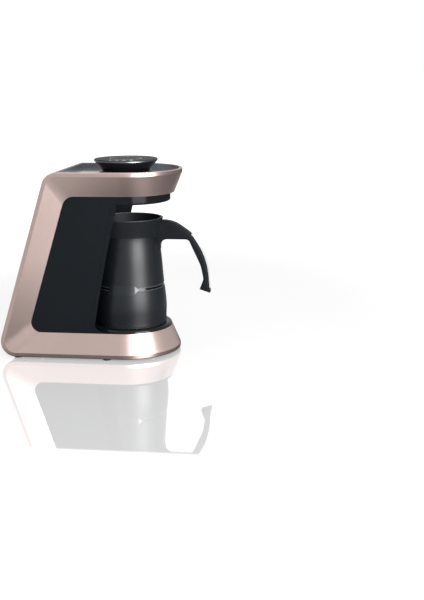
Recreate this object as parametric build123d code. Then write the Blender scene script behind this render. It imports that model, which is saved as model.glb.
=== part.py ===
from build123d import *
import math
import os

# Electric turkish coffee maker: a C-shaped housing with a leaning spine, a pot bay between head and base,
# a hotplate under the pot, a rotary selector on the head and a lift-out pot with a hooked handle.
# Lengths are millimetres. While the pieces are drawn, the pot's vertical axis is at X = Y = 0, the front is
# towards -Y and the floor is Z = 0. place() then moves all of them so that the footprint is centred.

# ---- housing frame
FRAME_BOTTOM = 3.0         # underside of the base band above the floor
FRAME_TOP = 249.5          # rim of the head
BAND = 32.0                # height of the head band and of the base band
SPINE_BAND = 31.0          # width of the spine band, square to its slope
STRIP = 5.5                # upright edge strip around the band
BEVEL = 11.0               # how far the band slopes inward
WALL = 2.6                 # moulded wall of the frame
LEAN = 17.7                # lean of the spine from upright, degrees
REAR_FOOT_Y = 172.2        # where the sloping back would meet the underside
CORNER_R = 20.0            # rounded rear corners in side view
RIM_ROUND = 1.2            # rounding of the outer edge
HEAD_ARC_Y = -3.0          # centre of the head's round nose
BASE_ARC_Y = 3.0           # centre of the base's round nose
SPLIT_Y = 10.0             # where the round noses join the straight part
WINDOW_TOP_R = 16.0        # corners of the side window
WINDOW_FOOT_R = 13.0

# ---- black inner mouldings
SKIN = 2.4                 # wall of the black mouldings
PANEL_RECESS = 2.0         # side panels sit back from the band's inner edge
PANEL_FLANGE = 2.0         # hidden flange behind the band
PANEL_GAP = 0.3            # shadow gap round a side panel
LIP_PROUD = 0.4            # bead of the bay lining beside the panel
HEAD_DROP = 11.5           # depth of the skirt below the head band
SEAT_CLEAR = 1.2           # flat deck left round the seat before the back wall curves up
BAY_FOOT_Y = 3.4           # centre of the hollow back wall at the deck
BAY_TOP_Y = -12.8          # and at the ceiling
BAY_TOP_OVER = 2.5         # its radius there beyond the side panels
BAY_FOOT_ROUND = 11.0
BAY_TOP_ROUND = 2.0
BAY_SEAM = 13.0            # seam of the lining below the ceiling
SEAM_Y = 4.0               # the skirt ends here and the side panels begin
SKIRT_NOSE = 0.5           # how far the skirt's round centre lies behind the pot axis
SKIRT_ROUND = 2.5

# ---- top tray
TRAY_DEPTH = 6.0           # from the rim down to the glossy plate
TRAY_WALL = 1.6
TRAY_FLOOR = 2.0
TRAY_REAR_Y = 80.5
TRAY_SHY = 0.5             # the tray's wall ends just below the rim
SENSOR_W = 14.0            # overflow sensor over the pot
SENSOR_L = 10.0
SENSOR_H = 8.0
SENSOR_EYE_R = 5.0
SENSOR_RIM = 1.6
SENSOR_LENS_T = 1.0

# ---- seat, hotplate and heater
SEAT_HEIGHT = 4.2          # above the deck
SEAT_W = 9.2              # width of the seat at the deck
SEAT_MARGIN = 3.2          # from the seat out to the base band's inner edge
SEAT_ROUND = 3.8
PLATE_INSET = 2.0          # the pot's base overhangs the plate
PLATE_GAP = 0.6
PLATE_PROUD = 0.6
PLATE_T = 3.0
PLATE_SKIRT = 3.0          # turned-down edge of the plate
PLATE_EDGE = 0.8
PLATE_EDGE_T = 1.2
ELEMENT_R = 30.0
ELEMENT_TUBE_R = 3.2
ELEMENT_SWEEP = 310.0
PIN_R = 1.6
PIN_LENGTH = 16.0
PIN_GAP = 1.0
PAN_DEPTH = 11.0
PAN_T = 1.0
PAN_FLANGE = 3.0
DECK_HOLE_GAP = 1.4        # round the plate in the deck
STUD_R = 2.5
STUD_CIRCLE_R = 38.0
STUD_COUNT = 3
PROBE_R = 3.5
PROBE_CAP_R = 6.5
PROBE_CAP_T = 1.6
PROBE_LENGTH = 28.0
PROBE_GAP = 0.7
PROBE_LIFT = 1.5           # how far the spring lifts the probe with no pot on it
PROBE_SHY = 0.1            # rests this far below the plate's face
GUIDE_WALL = 1.6
GUIDE_LENGTH = 13.0
GUIDE_FLANGE_R = 7.5
GUIDE_RISE = 3.0           # guide above the pan's floor
RUNNING = 0.05             # radial clearance of a running fit
PROBE_WIRE_R = 0.45
PROBE_COIL_R = 4.7
PROBE_COILS = 5.0
FUSE_R = 2.0
FUSE_L = 14.0
FUSE_Y = -17.0
CLIP_T = 0.8
CLIP_W = 6.0
CLIP_TAB = 5.0

# ---- pot
POT_HEIGHT = 143.4         # from the plate to the rim
POT_BELLY_R = 48.6         # widest, low on the pot; its other radii follow it
POT_BELLY_Z = 20.0
POT_BASE_T = 5.0
POT_BASE_R = POT_BELLY_R - 0.6
POT_BASE_ROUND = 1.2
POT_MID_R = POT_BELLY_R - 2.7
POT_MID_Z = 54.0
POT_WAIST_R = POT_BELLY_R - 6.5
POT_WAIST_Z = 99.0
POT_NECK_R = POT_BELLY_R - 8.3
POT_NECK_Z = 119.0
POT_RIM_R = POT_BELLY_R - 4.6
POT_WALL = 1.2
COLLAR_HEIGHT = 22.5
COLLAR_T = 1.8
RIM_PROUD = 0.5            # pot's edge above the collar
RIM_FLARE = 10.0           # turned forms run on this far past the rim before it is cut
GROOVE_Z = 52.0            # groove round the pot, above the plate
GROOVE_H = 6.4
GROOVE_DEEP = 0.6
BADGE_W = 41.0
BADGE_H = 13.0
BADGE_T = 0.8
BADGE_SLANT = 2.5
BADGE_Y = 0.5
BADGE_TIP = 6.5            # length of its pointed front end
POT_TRAVEL = 150.0
POT_RISE = 7.5             # degrees, the pot is lifted as it is drawn out

# ---- handle
HANDLE_W = 17.0
HANDLE_EDGE = 3.0          # rounding of its long edges
HANDLE_REACH = 109.8       # furthest point in front of the pot axis
HANDLE_DROP = 101.3         # from the rim down to the tip
HANDLE_THICK = 9.5         # thickness of the hanging grip
HANDLE_ARM = 25.3          # depth of the arm at the pot
HANDLE_DIP = 3.0           # the arm's top below the collar's edge
ARM_RUN = 50.0             # level top of the arm, back from the furthest point
KNEE_RUN = 24.0            # the shoulder's lower end, back from the furthest point
KNEE_DROP = 18.2
GRIP_RUN = 11.3            # where the grip turns down, back from the furthest point
GRIP_DROP = 38.2
GRIP_LOW = 12.0            # lowest knee of the grip, below its middle
SHOULDER_R = 40.0
GRIP_R = 60.0
GRIP_CURVE_R = 100.0
GRIP_ROOM = 28.3           # inner edge of the grip under the arm, back from the furthest point
FINGER_R = 6.0
ROOT_R = 10.5
ROOT_DROP = 14.4
TAIL_W = 14.0
TAIL_RISE = 4.6
TAIL_R = 10.0
STRIP_DROP = 18.7          # top of the bright strip below the collar's edge
STRIP_L = 73.0
STRIP_STRAIGHT = 20.0      # straight length at its foot
STRIP_T = 1.4
STRIP_PROUD = 0.4
STRIP_W = 8.0
HANDLE_SCREW_Z = 12.0      # below the rim

# ---- selector on the head
DIAL_R = 42.4
DIAL_WAIST_R = 32.4
DIAL_Y = 2.0               # the selector stands this far behind the pot axis
DIAL_FLARE = 14.5          # height from the waist to the top
DIAL_BOWL = 0.3            # how hollow the flare is
DIAL_FACE_T = 1.2
DIAL_FACE_SHY = 0.6        # the face ends inside the ring
DIAL_RING_T = 1.6
DIAL_RING_W = 2.2
DIAL_WALL = 2.4
DIAL_WEB = 2.2
DIAL_CLEAR = 0.4           # above the trim ring
TRIM_RING_H = 3.6
TRIM_RING_R = 36.4
TRIM_RING_W = 2.4
BUTTON_R = 9.0
BUTTON_GAP = 0.4
BUTTON_TRAVEL = 1.2
BUTTON_T = 2.4
BUTTON_SPRING_H = 2.4
BUTTON_COIL_R = 5.6
BUTTON_WIRE_R = 0.35
BUTTON_COILS = 1.5
SHAFT_R = 3.0
STEM_R = 1.5
HUB_R = 7.0
HUB_DROP = 8.5
BUSH_WALL = 1.6
BUSH_GAP = 0.2
ENCODER_W = 13.0
ENCODER_H = 4.6
ENCODER_FLOOR = 0.6

# ---- control board under the tray
CONTROL_W = 84.0
CONTROL_L = 54.0
CONTROL_T = 1.6
CONTROL_Y = -2.0
CONTROL_EDGE = 6.0
STANDOFF_R = 3.4
BUZZER_R = 6.5
BUZZER_H = 5.0
BUZZER_X = -24.0

# ---- inside the spine
BOSS_R = 3.6
BOSS_H = 9.0
BOARD_T = 1.6
BOARD_W = 84.0
BOARD_L = 104.0
BOARD_Z = 112.0            # height of the board's centre
BOARD_EDGE = 6.0           # screw centres in from the board's edges
CORE_W = 38.0              # transformer on the power board
CORE_L = 32.0
CORE_H = 12.0
COIL_H = 26.0
COIL_W = 26.0
CORE_X = -15.0
CORE_Y = -22.0
RELAY_W = 28.0
RELAY_L = 12.5
RELAY_H = 25.0
RELAY_X = 20.0
RELAY_Y = 12.0
CAP_R = 7.5
CAP_H = 22.0
CAP_X = -24.0
CAP_Y = 14.0
BLOCK_W = 30.0             # terminal block
BLOCK_L = 12.0
BLOCK_H = 12.0
BLOCK_X = 21.0
BLOCK_Y = -32.0
BLOCK_WAYS = 4
SINK_W = 40.0              # heat sink of the switching device
SINK_L = 12.0
SINK_H = 24.0
SINK_Y = 36.0
SINK_FINS = 8
SINK_FIN_T = 1.4

# ---- underside
COVER_T = 2.2
COVER_GAP = 0.5
COVER_REAR_Y = 137.0
COVER_BOSS_H = 24.0
COVER_BOSS_R = 4.5
COVER_BOSS_IN = 12.0       # boss centres in from the outside
NOSE_BOSS_ANGLE = 47.0     # degrees from the front
REAR_BOSS_Y = 112.0
FRONT_FOOT_Y = 22.0
NOSE_FOOT_IN = 17.0
FOOT_R = 6.0
FOOT_SINK = 1.0
FOOT_ROUND = 1.0
SCREW_HEAD_R = 2.9
SCREW_HEAD_T = 1.8
SCREW_R = 1.5
SCREW_L = 10.0
SCREW_GAP = 0.2
VENT_W = 2.6
VENT_PITCH = 6.4
VENT_COUNT = 9
VENT_L = 46.0
VENT_Y = 85.0

# ---- mains inlet and wiring
CORD_R = 3.6
GLAND_WALL = 2.2
GLAND_Z = 19.0
GLAND_POCKET_R = 9.0
GLAND_FLOOR_Y = 155.0
GLAND_LENGTH = 22.0
GLAND_FLANGE_R = 8.4
GLAND_FLANGE_T = 2.4
GLAND_PROUD = 2.0          # barrel beyond the flange
LEAD_R = 1.1
LEAD_PITCH = 4.0
LEAD_START = 3.0           # cord's sheath ends this far inside the gland
LEAD_Z = 13.0              # where the heater leads cross the base
LEAD_BEND = 4.0
MAINS_TURN = 12.0          # the mains leads turn up this far in front of the gland
MAINS_RISE = 16.0
MAINS_DROP = 22.0          # straight run below the terminal block
HEATER_RUN = 30.0          # the heater leads run straight back under the pan
HEATER_BACK = 22.0
HEATER_RISE = 20.0
RIBBON_W = 11.0
RIBBON_T = 1.0
RIBBON_X = -27.0
RIBBON_OUT = 16.0          # straight run out of the power board

# ---- derived places
PLATE_R = POT_BASE_R - PLATE_INSET
SEAT_R = PLATE_R + PLATE_GAP + SEAT_W
HALF_WIDTH = SEAT_R + SEAT_MARGIN + BEVEL
BAY_FOOT_R = SEAT_R + SEAT_CLEAR + BAY_FOOT_ROUND
SLOPE = math.tan(math.radians(LEAN))
LEAN_COS = math.cos(math.radians(LEAN))
HEAD_LOW = FRAME_TOP - BAND
BASE_TOP = FRAME_BOTTOM + BAND
INNER_HALF = HALF_WIDTH - BEVEL
BEVEL_RUN = BAND - STRIP
BEVEL_SKEW = math.hypot(BEVEL, BEVEL_RUN) / BEVEL_RUN
MOUTH_HALF = INNER_HALF - WALL * BEVEL_SKEW    # clear half width inside the band's inner edge
PANEL_X = INNER_HALF - PANEL_RECESS
BAY_TOP_R = PANEL_X + BAY_TOP_OVER
CEILING = HEAD_LOW - HEAD_DROP
DECK = BASE_TOP
DECK_LOW = DECK - SKIN
SEAT_TOP = DECK + SEAT_HEIGHT
PLATE_TOP = SEAT_TOP + PLATE_PROUD
PLATE_LOW = PLATE_TOP - PLATE_T
DECK_HOLE_R = PLATE_R + DECK_HOLE_GAP
PAN_FLOOR = DECK_LOW - PAN_DEPTH + PAN_T
GUIDE_TOP = PAN_FLOOR + GUIDE_RISE
PROBE_TOP = PLATE_TOP - PROBE_SHY
ELEMENT_Z = PLATE_LOW - ELEMENT_TUBE_R
PIN_ANGLE = (360 - ELEMENT_SWEEP) / 2
POT_FLOOR = PLATE_TOP + POT_BASE_T
RIM_Z = PLATE_TOP + POT_HEIGHT
COLLAR_TOP = RIM_Z - RIM_PROUD
COLLAR_Z = COLLAR_TOP - COLLAR_HEIGHT
TRAY_Z = FRAME_TOP - TRAY_DEPTH
TRAY_LOW = TRAY_Z - TRAY_FLOOR
TRIM_TOP = TRAY_Z + TRIM_RING_H
WAIST_Z = TRIM_TOP + DIAL_CLEAR
DIAL_TOP = WAIST_Z + DIAL_FLARE
FACE_Z = DIAL_TOP - DIAL_FACE_T
RING_LOW = FACE_Z - DIAL_RING_T
WELL_R = BUTTON_R + BUTTON_GAP
WELL_Z = DIAL_TOP - BUTTON_T - BUTTON_SPRING_H
WEB_LOW = WELL_Z - DIAL_WEB
HUB_LOW = WELL_Z - HUB_DROP
STEM_BORE_R = STEM_R + RUNNING
BUSH_R = SHAFT_R + RUNNING + BUSH_WALL
ENCODER_TOP = TRAY_LOW - BUSH_GAP
CONTROL_TOP = ENCODER_TOP - ENCODER_H
CONTROL_LOW = CONTROL_TOP - CONTROL_T
COVER_TOP = FRAME_BOTTOM + WALL
COVER_LOW = COVER_TOP - COVER_T
FOOT_TOP = COVER_LOW + FOOT_SINK
GLAND_INNER_Y = GLAND_FLOOR_Y + GLAND_FLANGE_T + GLAND_PROUD - GLAND_LENGTH
FAR = 300.0                # past the outside of the machine
UP = (Align.CENTER, Align.CENTER, Align.MIN)


# ---------------------------------------------------------------- shared outlines
def rear_y(z, inset=0.0):
    """Y of the sloping back at height z, moved inward by inset."""
    return REAR_FOOT_Y - (z - FRAME_BOTTOM) * SLOPE - inset / LEAN_COS


def nose_face(radius, arc_y, back_y, z):
    """Plan of the head or base: straight sides and a half-round front."""
    left = Line((-radius, back_y), (-radius, arc_y))
    front = ThreePointArc((-radius, arc_y), (0, arc_y - radius), (radius, arc_y))
    right = Line((radius, arc_y), (radius, back_y))
    back = Line((radius, back_y), (-radius, back_y))
    return Pos(0, 0, z) * make_face([left, front, right, back])


def side_face(low, high, inset, foot_r, top_r, front_y, x):
    """Side view between two heights, its back parallel to the spine and rounded at both corners."""
    open_path = FilletPolyline(
        (front_y, low), (rear_y(low, inset), low), (rear_y(high, inset), high), (front_y, high),
        radius=[foot_r, top_r])
    closing = Line((front_y, high), (front_y, low))
    return Plane.YZ.offset(x) * make_face([open_path, closing])


def window_face(grow, x):
    """The side opening between the bands, grown outward on all three closed sides."""
    return side_face(BASE_TOP - grow, HEAD_LOW + grow, SPINE_BAND - grow,
                     WINDOW_FOOT_R + max(grow, 0), WINDOW_TOP_R + max(grow, 0), -FAR, x)


def both_sides(solid):
    return solid + mirror(solid, about=Plane.YZ)


def disc(radius, low, high, x=0.0, y=0.0):
    return Pos(x, y, low) * Cylinder(radius, high - low, align=UP)


def ring(outer, inner, low, high, x=0.0, y=0.0):
    return disc(outer, low, high, x, y) - disc(inner, low, high, x, y)


def turned(*points):
    """Solid of revolution about the pot axis from (radius, height) corners."""
    return revolve(Plane.XZ * make_face(Polyline(*points, close=True)), Axis.Z)


def slab(x0, x1, y0, y1, z0, z1):
    return Pos((x0 + x1) / 2, (y0 + y1) / 2, (z0 + z1) / 2) * Box(x1 - x0, y1 - y0, z1 - z0)


def group(members):
    """Loose copies of one piece, kept together."""
    return Compound([solid for member in members for solid in member.solids()])


# ---------------------------------------------------------------- housing frame
def nose(arc_y, edge_z, inner_z, inset, run_on):
    """Tapered round front of a band: edge strip outside, bevel running to inner_z and run_on beyond."""
    up = 1 if inner_z > edge_z else -1
    strip_z = edge_z + up * STRIP
    shift = inset * BEVEL_SKEW
    reach = BEVEL_RUN + run_on
    low_r = HALF_WIDTH - shift - BEVEL * reach / BEVEL_RUN
    bevel = loft([nose_face(HALF_WIDTH - shift, arc_y, SPLIT_Y, strip_z),
                  nose_face(low_r, arc_y, SPLIT_Y, strip_z + up * reach)], ruled=True)
    start = edge_z + up * inset
    strip = extrude(nose_face(HALF_WIDTH - inset, arc_y, SPLIT_Y, min(start, strip_z)), abs(strip_z - start))
    return bevel + strip


def side_window(shift):
    """Cutter for one side: bevelled window opening outward, then straight out past the side."""
    inner = side_face(BASE_TOP, HEAD_LOW, SPINE_BAND, WINDOW_FOOT_R, WINDOW_TOP_R, -FAR, INNER_HALF - shift)
    edge_r = CORNER_R - STRIP
    outer = side_face(FRAME_BOTTOM + STRIP, FRAME_TOP - STRIP, STRIP, edge_r, edge_r, -FAR,
                      HALF_WIDTH - shift)
    return loft([inner, outer], ruled=True) + extrude(outer, BEVEL)


def frame_mass(inset, run_on):
    """The closed outer form of the frame, every face moved inward by inset."""
    side = side_face(FRAME_BOTTOM + inset, FRAME_TOP - inset, inset,
                     CORNER_R - inset, CORNER_R - inset, SPLIT_Y, 0)
    block = extrude(side, HALF_WIDTH - inset, both=True)
    block -= both_sides(side_window(inset * BEVEL_SKEW))
    head = nose(HEAD_ARC_Y, FRAME_TOP, HEAD_LOW, inset, run_on)
    base = nose(BASE_ARC_Y, FRAME_BOTTOM, BASE_TOP, inset, run_on)
    return block + head + base


def cover_boss_places():
    """Screw places of the cover: two on the round nose and two at the back."""
    reach = HALF_WIDTH - COVER_BOSS_IN
    x = reach * math.sin(math.radians(NOSE_BOSS_ANGLE))
    y = BASE_ARC_Y - reach * math.cos(math.radians(NOSE_BOSS_ANGLE))
    return [(-x, y), (x, y), (-reach, REAR_BOSS_Y), (reach, REAR_BOSS_Y)]


def rear_foot_places():
    x = HALF_WIDTH - 2 * FOOT_R
    y = COVER_REAR_Y + 1.25 * FOOT_R
    return [(-x, y), (x, y)]


def front_foot_places():
    x = HALF_WIDTH - WALL - COVER_GAP - 1.15 * FOOT_R
    return [(-x, FRONT_FOOT_Y), (x, FRONT_FOOT_Y), (0, BASE_ARC_Y - HALF_WIDTH + NOSE_FOOT_IN)]


def board_plane():
    """On the inner face of the sloping back: X across, Y up the slope, Z towards the pot."""
    inner_y = rear_y(BOARD_Z, WALL)
    normal = (0, -LEAN_COS, -math.sin(math.radians(LEAN)))
    return Plane(origin=(0, inner_y, BOARD_Z), x_dir=(1, 0, 0), z_dir=normal)


def board_screw_places():
    dx = BOARD_W / 2 - BOARD_EDGE
    dy = BOARD_L / 2 - BOARD_EDGE
    return [(sx * dx, sy * dy) for sx in (-1, 1) for sy in (-1, 1)]


OUTER = frame_mass(0, 0)
VOID = frame_mass(WALL, BEVEL)


def outer_frame():
    body = fillet([e for e in OUTER.edges() if on_rim(e)], RIM_ROUND)
    body -= VOID
    body -= extrude(window_face(0, -FAR / 2), FAR)
    body -= extrude(nose_face(HALF_WIDTH - WALL, HEAD_ARC_Y, TRAY_REAR_Y, TRAY_Z), FAR)
    body -= extrude(nose_face(HALF_WIDTH - WALL, BASE_ARC_Y, COVER_REAR_Y, 0), COVER_TOP)
    for x, y in cover_boss_places():
        boss = disc(COVER_BOSS_R, COVER_TOP, COVER_TOP + COVER_BOSS_H, x, y) & OUTER
        body += boss - disc(SCREW_R, COVER_TOP, COVER_TOP + SCREW_L, x, y)
    for x, y in board_screw_places():
        post = Cylinder(BOSS_R, BOSS_H + WALL / 2, align=UP)
        hole = Pos(0, 0, BOSS_H + WALL / 2) * Cylinder(SCREW_R, 2 * (SCREW_L - BOARD_T))
        body += board_plane() * Pos(x, y, -WALL / 2) * (post - hole)
    pad_y = GLAND_FLOOR_Y - WALL
    body += along_y(GLAND_POCKET_R + WALL, pad_y, FAR) & OUTER
    body -= along_y(GLAND_POCKET_R, GLAND_FLOOR_Y, FAR)
    body -= along_y(CORD_R + GLAND_WALL, pad_y - WALL, FAR)
    for x, y in rear_foot_places():
        body -= disc(FOOT_R, 0, FOOT_TOP, x, y)
    return body


def along_y(radius, start, end, x=0.0, z=GLAND_Z):
    """Cylinder parallel to Y from start to end, by default on the inlet's axis."""
    return Pos(x, start, z) * Rot(-90, 0, 0) * Cylinder(radius, end - start, align=UP)


def on_rim(edge):
    """True for the outermost edges: the sides of the strip and the round noses at top and bottom."""
    middle = edge.position_at(0.5)
    at_end = min(abs(middle.Z - FRAME_TOP), abs(middle.Z - FRAME_BOTTOM)) < 0.01
    at_side = abs(abs(middle.X) - HALF_WIDTH) < 0.01
    if at_side:
        back = abs(middle.Y - rear_y(middle.Z)) < 0.01
        corner = middle.Y > SPLIT_Y + 1 and edge.geom_type == GeomType.CIRCLE
        outer = corner and edge.radius > CORNER_R - STRIP / 2
        return at_end or back or outer
    return at_end and edge.geom_type == GeomType.CIRCLE


# ---------------------------------------------------------------- bay lining, skirt and side panels
def hollow_face(radius, arc_y, z):
    """Plan of the bay: open to the front and closed by a half-round wall at the back."""
    left = Line((-radius, -FAR), (-radius, arc_y))
    back = ThreePointArc((-radius, arc_y), (0, arc_y + radius), (radius, arc_y))
    right = Line((radius, arc_y), (radius, -FAR))
    front = Line((radius, -FAR), (-radius, -FAR))
    return Pos(0, 0, z) * make_face([left, back, right, front])


def bay_space(grow):
    """Open space of the bay, its hollow back wall leaning forward, grown by grow."""
    rise = CEILING - DECK
    lean = (BAY_TOP_Y - BAY_FOOT_Y) / rise * grow
    taper = (BAY_TOP_R - BAY_FOOT_R) / rise * grow
    foot_z = DECK - grow
    top_z = CEILING + grow
    space = loft([hollow_face(BAY_FOOT_R + grow - taper, BAY_FOOT_Y - lean, foot_z),
                  hollow_face(BAY_TOP_R + grow + taper, BAY_TOP_Y + lean, top_z)], ruled=True)
    space = fillet(arcs_at(space, foot_z), BAY_FOOT_ROUND + grow)
    return fillet(arcs_at(space, top_z), BAY_TOP_ROUND + grow)


def arcs_at(solid, z):
    """Round edges lying level at height z."""
    return [e for e in solid.edges()
            if e.geom_type == GeomType.CIRCLE and abs(e.position_at(0.5).Z - z) < 0.01
            and abs(e.position_at(0).Z - z) < 0.01]


BAY_OUT = bay_space(SKIN)
LINING = BAY_OUT - bay_space(0)


def bay_liner():
    lip = PANEL_X + LIP_PROUD
    seam = CEILING - BAY_SEAM
    inside = LINING & extrude(nose_face(MOUTH_HALF, BASE_ARC_Y, FAR, DECK_LOW), seam - DECK_LOW)
    bead = LINING & slab(-lip, lip, SEAM_Y, FAR, DECK + PANEL_GAP, seam)
    return inside + bead - disc(DECK_HOLE_R, DECK_LOW - SKIN, DECK + SKIN)


def head_underside():
    """Ceiling and skirt of the head, with the top of the bay's back wall."""
    lip = PANEL_X + LIP_PROUD
    skirt = extrude(nose_face(PANEL_X, SKIRT_NOSE, SEAM_Y, CEILING), HEAD_DROP)
    skirt = fillet(arcs_at(skirt, CEILING), SKIRT_ROUND)
    ledge = extrude(nose_face(MOUTH_HALF, HEAD_ARC_Y, SEAM_Y, HEAD_LOW), SKIN)
    hollow = extrude(nose_face(PANEL_X - SKIN, SKIRT_NOSE, FAR, CEILING + SKIN), FAR)
    body = skirt + ledge - hollow
    body += LINING & slab(-lip, lip, SEAM_Y, FAR, CEILING - BAY_SEAM, HEAD_LOW)
    return body - disc(SENSOR_EYE_R, CEILING - SKIN, CEILING + 2 * SKIN)


def side_blank():
    """Infill of the spine's right side before the bay is cut, with a hidden flange behind the band."""
    plate = extrude(window_face(-PANEL_GAP, PANEL_X - SKIN), SKIN)
    flange = extrude(window_face(PANEL_FLANGE, MOUTH_HALF - SKIN), SKIN)
    return plate + flange - slab(0, FAR, -FAR, SEAM_Y, 0, FAR)


def side_panel_right():
    return side_blank() - BAY_OUT


def side_panel_left():
    return mirror(side_blank(), about=Plane.YZ) - BAY_OUT


# ---------------------------------------------------------------- tray and selector
def standoff_places():
    dx = CONTROL_W / 2 - CONTROL_EDGE
    dy = CONTROL_L / 2 - CONTROL_EDGE
    return [(sx * dx, CONTROL_Y + sy * dy) for sx in (-1, 1) for sy in (-1, 1)]


def top_tray():
    outline = nose_face(HALF_WIDTH - WALL, HEAD_ARC_Y, TRAY_REAR_Y, 0)
    floor = extrude(Pos(0, 0, TRAY_LOW) * outline, TRAY_FLOOR) & VOID
    wall = extrude(Pos(0, 0, TRAY_Z) * outline, TRAY_DEPTH - TRAY_SHY)
    wall -= extrude(nose_face(HALF_WIDTH - WALL - TRAY_WALL, HEAD_ARC_Y, TRAY_REAR_Y - TRAY_WALL, TRAY_Z),
                    FAR)
    body = floor + wall - disc(BUSH_R + BUSH_GAP, TRAY_LOW - 1, TRAY_Z + 1, 0, DIAL_Y)
    for x, y in standoff_places():
        body += ring(STANDOFF_R, SCREW_R, CONTROL_TOP, TRAY_LOW, x, y)
    return body


def dial_trim_ring():
    inner = DIAL_WAIST_R - TRIM_RING_W
    return turned((inner, TRAY_Z), (TRIM_RING_R, TRAY_Z), (DIAL_WAIST_R, TRIM_TOP), (inner, TRIM_TOP))


def dial_body():
    """Flared skirt with a web, a well for the button and a hub for the encoder's shaft."""
    shoulder = DIAL_R - DIAL_RING_W
    mid_r = (DIAL_WAIST_R + DIAL_R) / 2 - DIAL_BOWL
    mid_z = (WAIST_Z + RING_LOW) / 2
    flare = Spline((DIAL_WAIST_R, WAIST_Z), (mid_r, mid_z), (DIAL_R - DIAL_FACE_SHY, RING_LOW))
    rest = Polyline((DIAL_R - DIAL_FACE_SHY, RING_LOW), (shoulder, RING_LOW), (shoulder, FACE_Z),
                    (WELL_R, FACE_Z), (WELL_R, WELL_Z), (SHAFT_R, WELL_Z), (SHAFT_R, HUB_LOW),
                    (HUB_R, HUB_LOW), (HUB_R, WEB_LOW), (shoulder - 2 * DIAL_WALL, WEB_LOW),
                    (mid_r - DIAL_WALL, mid_z - DIAL_WALL / 2), (DIAL_WAIST_R - DIAL_WALL, WAIST_Z),
                    (DIAL_WAIST_R, WAIST_Z))
    return revolve(Plane.XZ * make_face([flare, rest]), Axis.Z)


def dial_ring():
    inner = DIAL_R - DIAL_RING_W
    band = ring(DIAL_R, inner, RING_LOW, FACE_Z)
    return chamfer([e for e in arcs_at(band, FACE_Z) if e.radius > inner + 0.01], DIAL_FACE_SHY / 2)


def dial_face():
    face = ring(DIAL_R - DIAL_FACE_SHY, WELL_R, FACE_Z, DIAL_TOP)
    return chamfer([e for e in arcs_at(face, DIAL_TOP) if e.radius > WELL_R + 0.01], DIAL_FACE_T / 2)


def encoder_shaft():
    low = CONTROL_TOP + ENCODER_FLOOR + RUNNING
    return ring(SHAFT_R, STEM_BORE_R, low, WELL_Z)


def dial_encoder():
    body = slab(-ENCODER_W / 2, ENCODER_W / 2, -ENCODER_W / 2, ENCODER_W / 2, CONTROL_TOP, ENCODER_TOP)
    body += disc(BUSH_R, CONTROL_TOP, TRAY_Z + BUSH_WALL)
    return body - disc(SHAFT_R + RUNNING, CONTROL_TOP + ENCODER_FLOOR, TRAY_Z + 2 * BUSH_WALL)


def start_button():
    cap = disc(BUTTON_R, DIAL_TOP - BUTTON_T, DIAL_TOP)
    cap = fillet(arcs_at(cap, DIAL_TOP), DIAL_FACE_SHY)
    low = CONTROL_TOP + ENCODER_FLOOR + BUTTON_TRAVEL + 2 * RUNNING
    return cap + disc(STEM_R, low, DIAL_TOP - BUTTON_T)


def coil(radius, wire, low, high, turns):
    """Compression spring with its wire inside the two heights."""
    height = high - low - 2 * wire
    path = Pos(0, 0, low + wire) * Helix(height / turns, height, radius)
    return sweep(Plane(origin=path @ 0, z_dir=path % 0) * Circle(wire), path=path)


def button_spring():
    return coil(BUTTON_COIL_R, BUTTON_WIRE_R, WELL_Z, DIAL_TOP - BUTTON_T, BUTTON_COILS)


def control_board():
    body = slab(-CONTROL_W / 2, CONTROL_W / 2, CONTROL_Y - CONTROL_L / 2, CONTROL_Y + CONTROL_L / 2,
                CONTROL_LOW, CONTROL_TOP)
    for x, y in standoff_places():
        body -= disc(SCREW_R + SCREW_GAP, CONTROL_LOW - 1, CONTROL_TOP + 1, x, y)
    return body


def screw(x, y, seat, length, up=True):
    """Pan-head screw whose head bears at seat."""
    if up:
        return disc(SCREW_HEAD_R, seat - SCREW_HEAD_T, seat, x, y) + disc(SCREW_R, seat, seat + length, x, y)
    return disc(SCREW_HEAD_R, seat, seat + SCREW_HEAD_T, x, y) + disc(SCREW_R, seat - length, seat, x, y)


def control_screws():
    length = TRAY_LOW - CONTROL_LOW
    return group([screw(x, y, CONTROL_LOW, length) for x, y in standoff_places()])


def buzzer():
    can = disc(BUZZER_R, CONTROL_LOW - BUZZER_H, CONTROL_LOW, BUZZER_X, CONTROL_Y)
    return can - disc(SCREW_R, CONTROL_LOW - BUZZER_H - 1, CONTROL_LOW - BUZZER_H / 2, BUZZER_X, CONTROL_Y)


def sensor_window():
    lens = disc(SENSOR_EYE_R, CEILING, CEILING + SKIN)
    return lens + disc(SENSOR_EYE_R + SENSOR_RIM, CEILING + SKIN, CEILING + SKIN + SENSOR_LENS_T)


def overflow_sensor():
    low = CEILING + SKIN + SENSOR_LENS_T
    body = slab(-SENSOR_W / 2, SENSOR_W / 2, -SENSOR_L / 2, SENSOR_L / 2, low, low + SENSOR_H)
    return body - disc(SENSOR_EYE_R - SENSOR_RIM, low - 1, low + SENSOR_H / 2)


# ---------------------------------------------------------------- seat, hotplate and heater
def seat_ring():
    """Raised seat with a quarter-round outer edge, resting on the deck and the band's rim."""
    inner = PLATE_R + PLATE_GAP
    top_r = SEAT_R - SEAT_ROUND
    low = SEAT_TOP - SEAT_ROUND
    lines = [Polyline((top_r, SEAT_TOP), (inner, SEAT_TOP), (inner, DECK), (SEAT_R, DECK), (SEAT_R, low)),
             CenterArc((top_r, low), SEAT_ROUND, 0, 90)]
    return revolve(Plane.XZ * make_face(lines), Axis.Z)


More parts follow.
